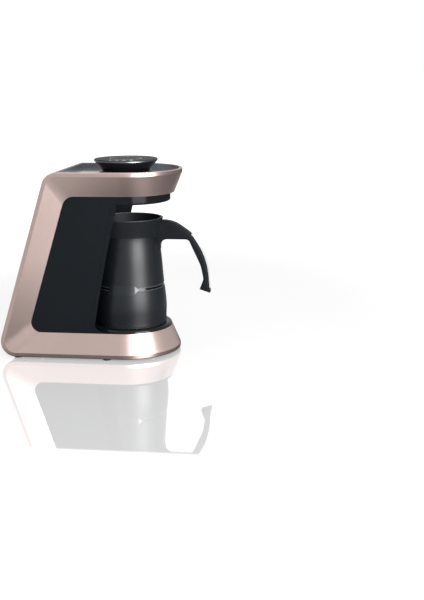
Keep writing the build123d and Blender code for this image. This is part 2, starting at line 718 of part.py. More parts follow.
def hotplate():
    plate = disc(PLATE_R, PLATE_LOW, PLATE_TOP)
    plate = fillet(arcs_at(plate, PLATE_TOP), PLATE_EDGE)
    plate += ring(PLATE_R, PLATE_R - PLATE_EDGE_T, PLATE_LOW - PLATE_SKIRT, PLATE_LOW)
    return plate - disc(PROBE_CAP_R + PROBE_GAP, PLATE_LOW - 1, PLATE_TOP + 1)


def pin_places():
    angle = math.radians(90 - PIN_ANGLE)
    x = ELEMENT_R * math.cos(angle)
    return [(-x, ELEMENT_R * math.sin(angle)), (x, ELEMENT_R * math.sin(angle))]


def heating_element():
    tube = revolve(Plane.XZ * Pos(ELEMENT_R, ELEMENT_Z) * Circle(ELEMENT_TUBE_R), Axis.Z, ELEMENT_SWEEP)
    body = Rot(0, 0, 90 + PIN_ANGLE) * tube
    for x, y in pin_places():
        body += Pos(x, y, ELEMENT_Z) * Sphere(ELEMENT_TUBE_R)
        body += disc(PIN_R, ELEMENT_Z - PIN_LENGTH, ELEMENT_Z, x, y)
    return body


def stud_places():
    angles = [2 * math.pi * i / STUD_COUNT for i in range(STUD_COUNT)]
    return [(STUD_CIRCLE_R * math.sin(a), -STUD_CIRCLE_R * math.cos(a)) for a in angles]


def plate_studs():
    """Studs under the plate with a nut below the pan."""
    studs = []
    low = PAN_FLOOR - PAN_T
    for x, y in stud_places():
        nut = Pos(x, y, low - STUD_R) * extrude(RegularPolygon(2 * STUD_R, 6), STUD_R)
        studs.append(disc(STUD_R, low, PLATE_LOW, x, y) + nut)
    return group(studs)


def heater_pan():
    low = PAN_FLOOR - PAN_T
    rim = DECK_HOLE_R + PAN_T + PAN_FLANGE
    body = turned((0, low), (DECK_HOLE_R, low), (DECK_HOLE_R, DECK_LOW - PAN_T), (rim, DECK_LOW - PAN_T),
                  (rim, DECK_LOW), (DECK_HOLE_R - PAN_T, DECK_LOW), (DECK_HOLE_R - PAN_T, PAN_FLOOR),
                  (0, PAN_FLOOR))
    body -= disc(PROBE_R + RUNNING + GUIDE_WALL, low - 1, PAN_FLOOR + 1)
    for x, y in pin_places():
        body -= disc(PIN_R + PIN_GAP, low - 1, PAN_FLOOR + 1, x, y)
    for x, y in stud_places():
        body -= disc(STUD_R, low - 1, PAN_FLOOR + 1, x, y)
    return body


def probe_guide():
    outer = PROBE_R + RUNNING + GUIDE_WALL
    body = disc(outer, GUIDE_TOP - GUIDE_LENGTH, GUIDE_TOP)
    body += disc(GUIDE_FLANGE_R, PAN_FLOOR, PAN_FLOOR + PAN_T)
    return body - disc(PROBE_R + RUNNING, GUIDE_TOP - GUIDE_LENGTH - 1, GUIDE_TOP + 1)


def temperature_probe():
    cap = disc(PROBE_CAP_R, PROBE_TOP - PROBE_CAP_T, PROBE_TOP)
    cap = fillet(arcs_at(cap, PROBE_TOP), PROBE_CAP_T / 4)
    return cap + disc(PROBE_R, PROBE_TOP - PROBE_LENGTH, PROBE_TOP - PROBE_CAP_T)


def probe_spring():
    return coil(PROBE_COIL_R, PROBE_WIRE_R, GUIDE_TOP, PROBE_TOP - PROBE_CAP_T, PROBE_COILS)


def thermal_fuse():
    z = PLATE_LOW - FUSE_R
    return Pos(0, FUSE_Y, z) * Rot(0, 90, 0) * Cylinder(FUSE_R, FUSE_L)


def fuse_clip():
    """Strap that holds the fuse up against the plate."""
    z = PLATE_LOW - FUSE_R
    outer = FUSE_R + CLIP_T
    strap = Pos(0, FUSE_Y, z) * Rot(0, 90, 0) * Cylinder(outer, CLIP_W)
    strap += slab(-CLIP_W / 2, CLIP_W / 2, FUSE_Y - outer, FUSE_Y + outer, z, PLATE_LOW)
    for sign in (-1, 1):
        near = FUSE_Y + sign * FUSE_R
        far = FUSE_Y + sign * (outer + CLIP_TAB)
        strap += slab(-CLIP_W / 2, CLIP_W / 2, min(near, far), max(near, far), PLATE_LOW - CLIP_T, PLATE_LOW)
    strap -= Pos(0, FUSE_Y, z) * Rot(0, 90, 0) * Cylinder(FUSE_R, CLIP_W + 2)
    strap -= slab(-CLIP_W, CLIP_W, FUSE_Y - FUSE_R, FUSE_Y + FUSE_R, z, PLATE_LOW)
    return strap & slab(-FAR, FAR, -FAR, FAR, 0, PLATE_LOW)


# ---------------------------------------------------------------- pot
def pot_mass(offset, low):
    """Turned form of the pot from low to past the flared rim, its wall moved outward by offset."""
    base = PLATE_TOP
    slope = (POT_RIM_R - POT_NECK_R) / (POT_HEIGHT - POT_NECK_Z)
    side = Spline((POT_BASE_R + offset, low), (POT_BELLY_R + offset, base + POT_BELLY_Z),
                  (POT_MID_R + offset, base + POT_MID_Z), (POT_WAIST_R + offset, base + POT_WAIST_Z),
                  (POT_NECK_R + offset, base + POT_NECK_Z), (POT_RIM_R + offset, RIM_Z),
                  tangents=((0, 1), (slope, 1)))
    rest = Polyline((POT_RIM_R + offset, RIM_Z), (POT_RIM_R + offset + slope * RIM_FLARE, RIM_Z + RIM_FLARE),
                    (0, RIM_Z + RIM_FLARE), (0, low), (POT_BASE_R + offset, low))
    return revolve(Plane.XZ * make_face([side, rest]), Axis.Z)


def level(low, high):
    """Everything between two heights."""
    return slab(-FAR, FAR, -FAR, FAR, low, high)


POT_FORM = pot_mass(0, POT_FLOOR)


def pot_body():
    body = POT_FORM - pot_mass(-POT_WALL, POT_FLOOR + POT_WALL) - level(RIM_Z, FAR)
    low = PLATE_TOP + GROOVE_Z - GROOVE_H / 2
    groove = ring(2 * POT_MID_R, POT_MID_R - 1, low, low + GROOVE_H)
    groove -= pot_mass(-GROOVE_DEEP, POT_FLOOR)
    body -= groove
    return body - pot_badge()


def pot_badge():
    """Bare plate let into the left-hand side of the pot over the groove, pointed at its front end."""
    z = PLATE_TOP + GROOVE_Z
    low = z - BADGE_H / 2
    high = z + BADGE_H / 2
    front = BADGE_Y - BADGE_W / 2
    back = BADGE_Y + BADGE_W / 2
    face = Plane.YZ.offset(-2 * POT_MID_R) * make_face(Polyline(
        (front, z), (front + BADGE_TIP, low), (back, low), (back - BADGE_SLANT, high),
        (front + BADGE_TIP, high), close=True))
    plate = extrude(face, 2 * POT_MID_R)
    return (plate & pot_mass(BADGE_T / 2, POT_FLOOR)) - pot_mass(-BADGE_T / 2, POT_FLOOR)


def pot_base():
    base = disc(POT_BASE_R, PLATE_TOP, POT_FLOOR)
    return fillet(arcs_at(base, PLATE_TOP), POT_BASE_ROUND)


def pot_collar():
    body = (pot_mass(COLLAR_T, POT_FLOOR) - POT_FORM) & level(COLLAR_Z, COLLAR_TOP)
    for x, z in handle_screw_places():
        body -= along_y(SCREW_R, -FAR, 0, x, z) + screw_head(x, z)
    return body


def handle_screw_places():
    z = RIM_Z - HANDLE_SCREW_Z
    return [(-HANDLE_W / 4, z), (HANDLE_W / 4, z)]


def handle_face():
    """Side view of the handle: arm, shoulder, hanging grip and a tail that flares towards the pot."""
    top = COLLAR_TOP - HANDLE_DIP
    front = -HANDLE_REACH
    wall = -POT_NECK_R - 2
    inside = wall + HANDLE_W / 2
    tip_z = RIM_Z - HANDLE_DROP
    low_grip = (top + tip_z) / 2 - GRIP_LOW
    under = top - HANDLE_ARM
    root_z = under - ROOT_DROP
    tail = (front + TAIL_W, tip_z + TAIL_RISE)
    outer = FilletPolyline(
        (inside, top), (front + ARM_RUN, top), (front + KNEE_RUN, top - KNEE_DROP),
        (front + GRIP_RUN, top - GRIP_DROP), (front + 2.5, low_grip), (front, tip_z),
        radius=[SHOULDER_R, SHOULDER_R, GRIP_R, GRIP_CURVE_R])
    inner = FilletPolyline(
        tail, (front + HANDLE_THICK - 1, tail[1] + TAIL_W), (front + HANDLE_THICK + 2.5, low_grip),
        (front + GRIP_ROOM, under), (wall, under), (wall, root_z),
        radius=[TAIL_R, GRIP_CURVE_R / 2, FINGER_R, ROOT_R])
    closing = Polyline((wall, root_z), (inside, root_z), (inside, top))
    return make_face([outer, Line((front, tip_z), tail), inner, closing])


def strip_form():
    """Bright strip let into the outer face of the handle, from the shoulder to the tail."""
    face = handle_face()
    band = offset(face, STRIP_PROUD) - offset(face, STRIP_PROUD - STRIP_T)
    front = -HANDLE_REACH
    high = COLLAR_TOP - HANDLE_DIP - STRIP_DROP
    low = high - STRIP_L
    keep = make_face(Polyline(
        (-FAR, high), (front + KNEE_RUN + 2, high), (front + HANDLE_THICK / 2 + 2, low + STRIP_STRAIGHT),
        (front + HANDLE_THICK / 2, low), (-FAR, low), close=True))
    return extrude(Plane.YZ * (band & keep), STRIP_W / 2, both=True)


STRIP_FORM = strip_form()


def pot_handle():
    body = extrude(Plane.YZ * handle_face(), HANDLE_W / 2, both=True)
    body = fillet([e for e in body.edges() if on_handle_side(e)], HANDLE_EDGE)
    body -= pot_mass(COLLAR_T, POT_FLOOR) & level(COLLAR_Z, FAR)
    body -= POT_FORM
    for x, z in handle_screw_places():
        body -= along_y(SCREW_R, -POT_RIM_R - SCREW_L, 0, x, z)
    return body - STRIP_FORM


def on_handle_side(edge):
    middle = edge.position_at(0.5)
    return abs(abs(middle.X) - HANDLE_W / 2) < 0.01 and middle.Y < -POT_NECK_R - 1.5


def handle_strip():
    return STRIP_FORM


def screw_head(x, z):
    """Flat head let into the inner face of the collar."""
    skin = pot_mass(COLLAR_T * 0.6, POT_FLOOR) - POT_FORM
    return skin & along_y(SCREW_HEAD_R, -FAR, 0, x, z)


def handle_screws():
    """Screws from inside the collar into the arm of the handle."""
    start = -POT_RIM_R - SCREW_L
    return group([
        (along_y(SCREW_R, start, -POT_NECK_R + 2, x, z) - POT_FORM) + screw_head(x, z)
        for x, z in handle_screw_places()])


# ---------------------------------------------------------------- inside the spine
def on_board(x, y, width, length, height, lift=0.0):
    """Block standing on the power board."""
    top = BOSS_H + BOARD_T + lift
    return board_plane() * Pos(x, y, top) * Box(width, length, height, align=UP)


def on_board_disc(x, y, radius, height, lift=0.0):
    top = BOSS_H + BOARD_T + lift
    return board_plane() * Pos(x, y, top) * Cylinder(radius, height, align=UP)


def power_board():
    board = board_plane() * Pos(0, 0, BOSS_H) * Box(BOARD_W, BOARD_L, BOARD_T, align=UP)
    for x, y in board_screw_places():
        board -= board_plane() * Pos(x, y, BOSS_H) * Cylinder(SCREW_R + SCREW_GAP, 4 * BOARD_T)
    return board


def board_screws():
    screws = []
    for x, y in board_screw_places():
        head = on_board_disc(x, y, SCREW_HEAD_R, SCREW_HEAD_T)
        screws.append(head + on_board_disc(x, y, SCREW_R, SCREW_L, -SCREW_L))
    return group(screws)


def power_transformer():
    core = on_board(CORE_X, CORE_Y, CORE_W, CORE_L, CORE_H, (COIL_H - CORE_H) / 2)
    winding = on_board(CORE_X, CORE_Y, COIL_W, CORE_L - CORE_H / 2, COIL_H)
    return core + winding


def heater_relay():
    can = on_board(RELAY_X, RELAY_Y, RELAY_W, RELAY_L, RELAY_H)
    return chamfer(can.edges().group_by(Axis.Y)[0], BOARD_T / 2)


def filter_capacitor():
    can = on_board_disc(CAP_X, CAP_Y, CAP_R, CAP_H)
    neck = on_board_disc(CAP_X, CAP_Y, CAP_R, BOARD_T, BOARD_T)
    return can - (neck - on_board_disc(CAP_X, CAP_Y, CAP_R - BOARD_T / 2, BOARD_T, BOARD_T))


def way_places():
    pitch = BLOCK_W / BLOCK_WAYS
    return [BLOCK_X + (i - (BLOCK_WAYS - 1) / 2) * pitch for i in range(BLOCK_WAYS)]


def terminal_block():
    body = on_board(BLOCK_X, BLOCK_Y, BLOCK_W, BLOCK_L, BLOCK_H)
    for x in way_places():
        body -= on_board_disc(x, BLOCK_Y, 2 * LEAD_R, BLOCK_H, BLOCK_H / 2)
        mouth = board_plane() * Pos(x, BLOCK_Y - BLOCK_L / 2, BOSS_H + BOARD_T + BLOCK_H / 3)
        body -= mouth * Rot(90, 0, 0) * Cylinder(LEAD_R, BLOCK_L / 2)
    return body


def heat_sink():
    base_t = SINK_FIN_T * 2
    body = on_board(0, SINK_Y + (SINK_L - base_t) / 2, SINK_W, base_t, SINK_H)
    pitch = (SINK_W - SINK_FIN_T) / (SINK_FINS - 1)
    for i in range(SINK_FINS):
        body += on_board((i - (SINK_FINS - 1) / 2) * pitch, SINK_Y, SINK_FIN_T, SINK_L, SINK_H)
    return body


# ---------------------------------------------------------------- underside, inlet and wiring
def bottom_cover():
    half = HALF_WIDTH - WALL - COVER_GAP
    body = extrude(nose_face(half, BASE_ARC_Y, COVER_REAR_Y - COVER_GAP, COVER_LOW), COVER_T)
    for i in range(VENT_COUNT):
        x = (i - (VENT_COUNT - 1) / 2) * VENT_PITCH
        slot = Pos(x, VENT_Y, COVER_LOW) * Rot(0, 0, 90) * SlotOverall(VENT_L, VENT_W)
        body -= extrude(slot, COVER_T)
    for x, y in cover_boss_places():
        body -= disc(SCREW_R + SCREW_GAP, 0, COVER_TOP + 1, x, y)
    for x, y in front_foot_places():
        body -= disc(FOOT_R, 0, FOOT_TOP, x, y)
    return body


def cover_screws():
    return group([screw(x, y, COVER_LOW, SCREW_L) for x, y in cover_boss_places()])


def rubber_feet():
    feet = []
    for x, y in rear_foot_places() + front_foot_places():
        foot = disc(FOOT_R, 0, FOOT_TOP, x, y)
        feet.append(fillet(arcs_at(foot, 0), FOOT_ROUND))
    return group(feet)


def cord_gland():
    """Bush through the back wall, with a flange in the pocket and a nut inside."""
    barrel = CORD_R + GLAND_WALL
    nut_end = GLAND_FLOOR_Y - WALL
    body = along_y(barrel, GLAND_INNER_Y, GLAND_INNER_Y + GLAND_LENGTH)
    body += along_y(GLAND_FLANGE_R, GLAND_FLOOR_Y, GLAND_FLOOR_Y + GLAND_FLANGE_T)
    nut = extrude(RegularPolygon(GLAND_FLANGE_R, 6), GLAND_FLANGE_T)
    body += Pos(0, nut_end, GLAND_Z) * Rot(90, 0, 0) * nut
    return body - along_y(CORD_R, -FAR, FAR)


def lead(points):
    path = FilletPolyline(*points, radius=LEAD_BEND)
    return sweep(Plane(origin=path @ 0, z_dir=path % 0) * Circle(LEAD_R), path=path)


def way_mouth(index, below):
    """Point below the mouth of one way of the terminal block, in the machine's frame."""
    lift = BOSS_H + BOARD_T + BLOCK_H / 3
    spot = board_plane() * Pos(way_places()[index], BLOCK_Y - BLOCK_L / 4 - below, lift)
    return tuple(spot.position)


def mains_leads():
    """Line and neutral from the inlet up to the terminal block."""
    leads = []
    inner_end = GLAND_INNER_Y
    for index, side in ((0, -1), (1, 1)):
        x = side * LEAD_PITCH / 2.5
        drop = way_mouth(index, MAINS_DROP + LEAD_PITCH * index)
        turn_y = inner_end - MAINS_TURN - LEAD_PITCH * side
        leads.append(lead([(x, inner_end - LEAD_START, GLAND_Z), (x, turn_y, GLAND_Z),
                           (drop[0], turn_y, GLAND_Z + MAINS_RISE), drop, way_mouth(index, 0)]))
    return group(leads)


def heater_leads():
    """From the terminal block down and forward under the pan to the element's pins."""
    leads = []
    pin_low = ELEMENT_Z - PIN_LENGTH
    for index, place in ((2, 1), (3, 0)):
        x, y = pin_places()[1 - place]
        drop = way_mouth(index, HEATER_RISE)
        fork = LEAD_Z - LEAD_PITCH * place
        leads.append(lead([(x, y, pin_low), (x, y, fork), (x, y + HEATER_RUN, fork),
                           (drop[0], drop[1] - HEATER_BACK, fork),
                           (drop[0], drop[1] - HEATER_BACK / 2, drop[2] - HEATER_RISE), drop,
                           way_mouth(index, 0)]))
    return group(leads)


def control_cable():
    """Ribbon from the power board up the spine to the control board."""
    start = tuple((board_plane() * Pos(RIBBON_X, BOARD_L / 2 - 2 * BOARD_EDGE, BOSS_H + BOARD_T)).position)
    y_out = start[1] - RIBBON_OUT
    path = FilletPolyline(start, (start[0], y_out, start[2] - 5), (start[0], y_out - 24, CEILING + 10),
                          (start[0], CONTROL_Y + CONTROL_L / 2 - CONTROL_EDGE, CEILING + 15),
                          (start[0], CONTROL_Y + CONTROL_L / 2 - CONTROL_EDGE, CONTROL_LOW), radius=4)
    flat = Plane(origin=path @ 0, x_dir=(1, 0, 0), z_dir=path % 0) * Rectangle(RIBBON_W, RIBBON_T)
    return sweep(flat, path=path)


# ---------------------------------------------------------------- all pieces
PIECES = [
    outer_frame, side_panel_left, side_panel_right, bay_liner, head_underside, top_tray, dial_trim_ring,
    dial_body, dial_ring, dial_face, encoder_shaft, dial_encoder, start_button, button_spring,
    control_board, control_screws, buzzer, sensor_window, overflow_sensor, seat_ring, hotplate,
    heating_element, plate_studs, heater_pan, probe_guide, temperature_probe, probe_spring, thermal_fuse,
    fuse_clip, pot_body, pot_badge, pot_base, pot_collar, pot_handle, handle_strip, handle_screws,
    power_board, board_screws, power_transformer, heater_relay, filter_capacitor, terminal_block,
    heat_sink, bottom_cover, cover_screws, rubber_feet, cord_gland, mains_leads, heater_leads,
    control_cable]


SELECTOR = [dial_trim_ring, dial_body, dial_ring, dial_face, encoder_shaft, dial_encoder, start_button,
            button_spring]


def build_all():
    """Every piece by name, with the selector's moved to its own axis."""
    pieces = {make.__name__: make() for make in PIECES}
    for make in SELECTOR:
        pieces[make.__name__] = Pos(0, DIAL_Y, 0) * pieces[make.__name__]
    return pieces


def place(pieces):
    """Centre the footprint on the origin, between the handle's front and the back of the spine."""
    low = min(piece.bounding_box().min.Y for piece in pieces.values())
    high = max(piece.bounding_box().max.Y for piece in pieces.values())
    return {name: Pos(0, -(low + high) / 2, 0) * piece for name, piece in pieces.items()}


if __name__ == "__main__":
    os.makedirs("parts", exist_ok=True)
    for name, piece in place(build_all()).items():
        export_step(piece, os.path.join("parts", name + ".step"))
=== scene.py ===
import bpy
import bmesh
import math
from mathutils import Matrix, Vector


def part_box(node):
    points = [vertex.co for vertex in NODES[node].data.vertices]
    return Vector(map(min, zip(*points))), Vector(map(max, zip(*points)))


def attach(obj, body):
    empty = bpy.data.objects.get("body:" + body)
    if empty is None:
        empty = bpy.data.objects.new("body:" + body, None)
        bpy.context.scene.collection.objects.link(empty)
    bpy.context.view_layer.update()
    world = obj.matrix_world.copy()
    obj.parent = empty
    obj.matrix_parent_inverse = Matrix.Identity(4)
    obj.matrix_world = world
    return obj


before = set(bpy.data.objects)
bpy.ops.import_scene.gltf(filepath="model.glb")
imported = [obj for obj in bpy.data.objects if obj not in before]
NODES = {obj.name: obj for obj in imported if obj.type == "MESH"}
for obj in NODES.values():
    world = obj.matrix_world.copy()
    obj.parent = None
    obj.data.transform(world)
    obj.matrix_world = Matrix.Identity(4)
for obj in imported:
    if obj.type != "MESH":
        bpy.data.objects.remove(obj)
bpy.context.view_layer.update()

bl_info = {
    "name": "Turkish coffee maker dresser",
    "version": (1, 0, 0),
    "blender": (4, 5, 0),
    "location": "View3D > Sidebar > Coffee maker",
    "description": "Gives the coffee maker its finishes and small trim, and sets up a plain studio",
    "category": "Object",
}


def centre_line(node):
    """Middle of a round node, seen from above."""
    low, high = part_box(node)
    return Vector(((low.x + high.x) / 2, (low.y + high.y) / 2, 0.0))


POT_AXIS = centre_line("pot_base")
DIAL_AXIS = centre_line("dial_face")
FACE_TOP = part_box("dial_face")[1].z
COLLAR_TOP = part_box("pot_collar")[1].z
POT_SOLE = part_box("pot_base")[0].z
BADGE_LOW, BADGE_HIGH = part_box("pot_badge")

FULL_TURN = math.tau

# Patterns on the parts: waves in radians to the metre, places and widths in metres.
GROOVES_PER_METRE = 2400.0
TURNING_WAVES = 5200.0      # faint turning lines up the pot
PLATE_WAVES = 2600.0        # machined rings of the hotplate
PLATE_HEAT_FALL = 24.0      # how fast its heat stain fades outward
WINDING_WAVES = 9000.0      # turns of wire up the transformer
WINDING_SLANT = 2600.0      # their lean
RIBBON_WAVES = 2470.0       # conductors across the ribbon cable
RIBBON_MARKER = -0.0315     # edge of its red conductor
FACE_RIM = 0.036            # radius from which the selector's face turns greyer
FACE_RIM_RISE = 160.0       # how fast it does
LIP_HIGHLIGHT_REACH = 0.8              # reach of the painted highlight on the lips of the pot's groove, in groove heights
BADGE_RIM = 0.0009          # paler band at the back end of the pot's plate
STEEL_DARK = (0.42, 0.42, 0.43)
STEEL_PALE = (0.66, 0.66, 0.67)

# Marks on the selector's face: walls and dots as shares of a mark's radius, the rest in metres.
INK_SUNK = 0.00002          # how far the ink starts below the face
FIRST_CUP = 0.75            # size of the first cup
CUP_GROWTH = 0.15           # growth from each cup to the next
CUP_WALL = 0.62
CUP_GAP = math.radians(20.0)
DOT_IN = 0.12
DOT_OUT = 0.34
CIRCLE_INSET = 0.0135       # how far inside the marks the thin circle lies
CIRCLE_LINE = 0.0004

# The floor: distances in metres, the rest plain factors.
FLOOR_SIZE = 40.0           # half its side
DEPTH_WEIGHT = 1.6          # how much more distance counts along the part's depth
PAINTED_FLAG_START = 0.12           # where the painted dark patch seen in gloss starts in front
PAINTED_FLAG_RISE = 4.0             # how fast it deepens
FAR_START = 0.5             # where the mirror starts to fade into plain white
GLOW = 1.90                 # strength of the white that the camera sees
FAR_GLOW = 0.10             # what the far floor adds to it
GLOW_SHARE = 0.50           # its share; the other half takes light and shadow
MIRROR_RISE = 70.0          # how sharply the mirror ends at its reach
SKIM_SHARE = 0.5            # how much of the floor's skimming mirror shows in the metal

# Lamps: name, place, width, height and watts, all aimed at one point.
LAMP_AIM = Vector((0.0, 0.0, 0.12))
LAMPS = (
    ("front_low", (-1.03, -0.94, 0.38), 0.95, 0.75, 34.0),
    ("front_high", (-1.10, -0.64, 0.98), 0.95, 0.45, 4.5),
    ("side_left", (-0.9, 1.1, 1.1), 0.9, 0.7, 4.0),
    ("overhead", (0.2, 0.0, 1.6), 1.2, 1.2, 8.0),
)


# ---------------------------------------------------------------- shader maths
class Wire:
    """A shader socket on which + - * and / build Math nodes."""

    def __init__(self, looks, socket):
        self.looks = looks
        self.socket = socket

    def math(self, operation, *values, clamp=False):
        """A Math node on wires and numbers."""
        sockets = {f"i{number}": value for number, value in enumerate(values)}
        return self.looks.node("ShaderNodeMath", {"operation": operation, "use_clamp": clamp},
                               **sockets)

    def other(self, out):
        """Another output of the same node."""
        return Wire(self.looks, self.socket.node.outputs[out])

    def __add__(self, other):
        return self.math("ADD", self, other)

    __radd__ = __add__

    def __sub__(self, other):
        return self.math("SUBTRACT", self, other)

    def __rsub__(self, other):
        return self.math("SUBTRACT", other, self)

    def __mul__(self, other):
        return self.math("MULTIPLY", self, other)

    __rmul__ = __mul__

    def __truediv__(self, other):
        return self.math("DIVIDE", self, other)

    def __rtruediv__(self, other):
        return self.math("DIVIDE", other, self)

    def __neg__(self):
        return self.math("MULTIPLY", self, -1.0)

    def __abs__(self):
        return self.math("ABSOLUTE", self)

    def above(self, other):
        return self.math("GREATER_THAN", self, other)

    def below(self, other):
        return self.math("LESS_THAN", self, other)

    def larger(self, other):
        return self.math("MAXIMUM", self, other)

    def sine(self):
        return self.math("SINE", self)

    def root(self):
        return self.math("SQRT", self)

    def clamped(self):
        return self.math("ADD", self, 0.0, clamp=True)

    def eased(self):
        """Smooth step of a value that already runs from 0 to 1."""
        return self * self * (3.0 - self * 2.0)

    def swing(self, amount):
        """A pattern of 0 to 1 as a change of half this amount either way."""
        return (self - 0.5) * amount


class Looks:
    """A node tree with one method that makes its nodes."""

    def __init__(self, tree):
        self.tree = tree
        tree.nodes.clear()

    def node(self, kind, settings=None, out=0, **sockets):
        """A node by type: its settings, then its sockets' values or links (i0, i1 by number)."""
        made = self.tree.nodes.new(kind)
        for key, value in (settings or {}).items():
            setattr(made, key, value)
        for key, value in sockets.items():
            self.feed(made, key, value)
        return Wire(self, made.outputs[out]) if made.outputs else None

    def feed(self, made, key, value):
        """Links a wire to a node's socket, or writes a plain value on it."""
        numbered = key[0] == "i" and key[1:].isdigit()
        slot = made.inputs[int(key[1:])] if numbered else made.inputs[key.replace("_", " ")]
        if isinstance(value, Wire):
            self.tree.links.new(value.socket, slot)
        elif slot.type == "RGBA":
            slot.default_value = (*value[:3], 1.0)
        else:
            slot.default_value = value

    def blend(self, factor, first, second):
        """Mix of two colours, each an RGB value or a colour wire."""
        return self.node("ShaderNodeMix", {"data_type": "RGBA"}, 2, i0=factor, i6=first,
                         i7=second)


class Finish(Looks):
    """One procedural material round a Principled shader."""

    def __init__(self, name):
        self.material = bpy.data.materials.new(name)
        self.material.use_nodes = True
        super().__init__(self.material.node_tree)
        self.place = self.node("ShaderNodeTexCoord", out="Object")
        self.surface = self.node("ShaderNodeBsdfPrincipled")
        self.node("ShaderNodeOutputMaterial", Surface=self.surface)

    def noise(self, scale, detail=3.0, rough=0.5, stretch=None):
        """Cloudy pattern; a small factor in stretch draws it out along that axis."""
        place = self.place
        if stretch:
            place = self.node("ShaderNodeVectorMath", {"operation": "MULTIPLY"}, i0=place,
                              i1=stretch)
        return self.node("ShaderNodeTexNoise", Vector=place, Scale=scale, Detail=detail,
                         Roughness=rough)

    def cells(self, scale):
        """Distance to the nearest of many scattered points."""
        return self.node("ShaderNodeTexVoronoi", Vector=self.place, Scale=scale)

    def axes(self, origin=(0, 0, 0)):
        """Place on the part, measured from an origin."""
        moved = self.node("ShaderNodeVectorMath", {"operation": "SUBTRACT"}, i0=self.place,
                          i1=tuple(origin))
        x = self.node("ShaderNodeSeparateXYZ", Vector=moved)
        return x, x.other("Y"), x.other("Z")

    def about_axis(self, axis):
        """Distance from an upright axis, and height."""
        x, y, z = self.axes(axis)
        return (x * x + y * y).root(), z

    def turned(self, radius):
        """Fine grooves left by turning."""
        return self.node("ShaderNodeTexNoise", {"noise_dimensions": "1D"},
                         W=radius * GROOVES_PER_METRE, Scale=1.0, Detail=3.0)

    def set(self, **values):
        """Values or links of the Principled shader's sockets."""
        for key, value in values.items():
            self.feed(self.surface.socket.node, key, value)

    def bump(self, height, strength, distance):
        """Fine relief of the surface, its distance in metres."""
        self.set(Normal=self.node("ShaderNodeBump", Height=height, Strength=strength,
                                  Distance=distance))


FINISHES = {}


def finish(maker):
    """The material that a maker sets up, made the first time that it is asked for."""
    name = maker.__name__
    if name not in FINISHES:
        skin = Finish(name)
        maker(skin)
        FINISHES[name] = skin.material
    return FINISHES[name]


def dress(maker, *names):
    """Gives nodes of the frame a finish in place of the one they came with."""
    for name in names:
        materials = NODES[name].data.materials
        materials.clear()
        materials.append(finish(maker))


def tint(colour, factor):
    """A colour made darker or paler, still within 0 to 1."""
    return tuple(min(1.0, c * factor) for c in colour)


# ---------------------------------------------------------------- finishes
def satin_metal(skin):
    """Satin lacquered metal with fine flake and the faintest brushing along the band."""
    housing = bpy.context.scene.coffee_housing
    colour = tuple(housing.metal)
    flake = skin.noise(5200.0, 2.0)
    cloud = skin.noise(14.0)
    grain = skin.noise(900.0, 2.0, stretch=(1.0, 0.12, 0.12))
    shade = flake.swing(0.35) + cloud.swing(0.12) + grain.swing(0.2) + 0.5
    skin.set(Base_Color=skin.blend(shade, tint(colour, 0.90), tint(colour, 1.08)),
             Metallic=housing.metal_share,
             Roughness=housing.metal_rough + flake.swing(0.10) + grain.swing(0.05),
             Coat_Weight=housing.coat, Coat_Roughness=0.16)
    skin.bump(flake + grain * 0.6, 0.05, 0.00004)


def spark_black(skin):
    """Matte black moulding with a spark-eroded grain."""
    housing = bpy.context.scene.coffee_housing
    grain = skin.cells(2600.0)
    fine = skin.noise(1800.0, 4.0)
    cloud = skin.noise(22.0, 2.0)
    skin.set(Base_Color=skin.blend(cloud * 0.6 + fine * 0.4, tint(housing.black, 0.8),
                                   tint(housing.black, 1.25)),
             Roughness=0.55 + fine.swing(0.16), Specular_IOR_Level=housing.black_shine)
    skin.bump(grain + fine, 0.10, 0.00006)


def gloss_black(skin, coat=0.07):
    """Polished black moulding with a breath of handling marks."""
    smear = skin.noise(60.0, 5.0, 0.6, stretch=(1.0, 1.0, 0.4))
    orange_peel = skin.noise(380.0, 1.0)
    dust = skin.cells(900.0).below(0.06)
    skin.set(Base_Color=skin.blend(dust * 0.35, (0.006, 0.0065, 0.008), (0.05, 0.05, 0.052)),
             Roughness=0.12 + smear * smear * 0.16, Specular_IOR_Level=0.06, Coat_Weight=coat,
             Coat_Roughness=0.08)
    skin.bump(orange_peel, 0.03, 0.00005)


def seat_black(skin):
    """The same moulding, with a deeper polish on the seat."""
    gloss_black(skin, coat=0.28)


def skirt_black(skin):
    """The same moulding, duller on the head's underside."""
    gloss_black(skin, coat=0.03)


def tray_black(skin):
    """Blue-grey gloss of the sunken tray."""
    smear = skin.noise(45.0, 5.0, 0.6)
    dust = skin.cells(1200.0).below(0.05)
    skin.set(Base_Color=skin.blend(dust * 0.3 + smear * 0.15, (0.100, 0.114, 0.131),
                                   (0.18, 0.195, 0.215)),
             Roughness=0.09 + smear * 0.10, Coat_Weight=0.75, Coat_Roughness=0.05)
    skin.bump(skin.noise(420.0, 1.0), 0.03, 0.00005)


def coated(skin, pattern):
    """Colour of the pot's coating, a little darker and paler with a pattern."""
    coating = bpy.context.scene.coffee_pot.coating
    return skin.blend(pattern, tint(coating, 0.75), tint(coating, 1.4))


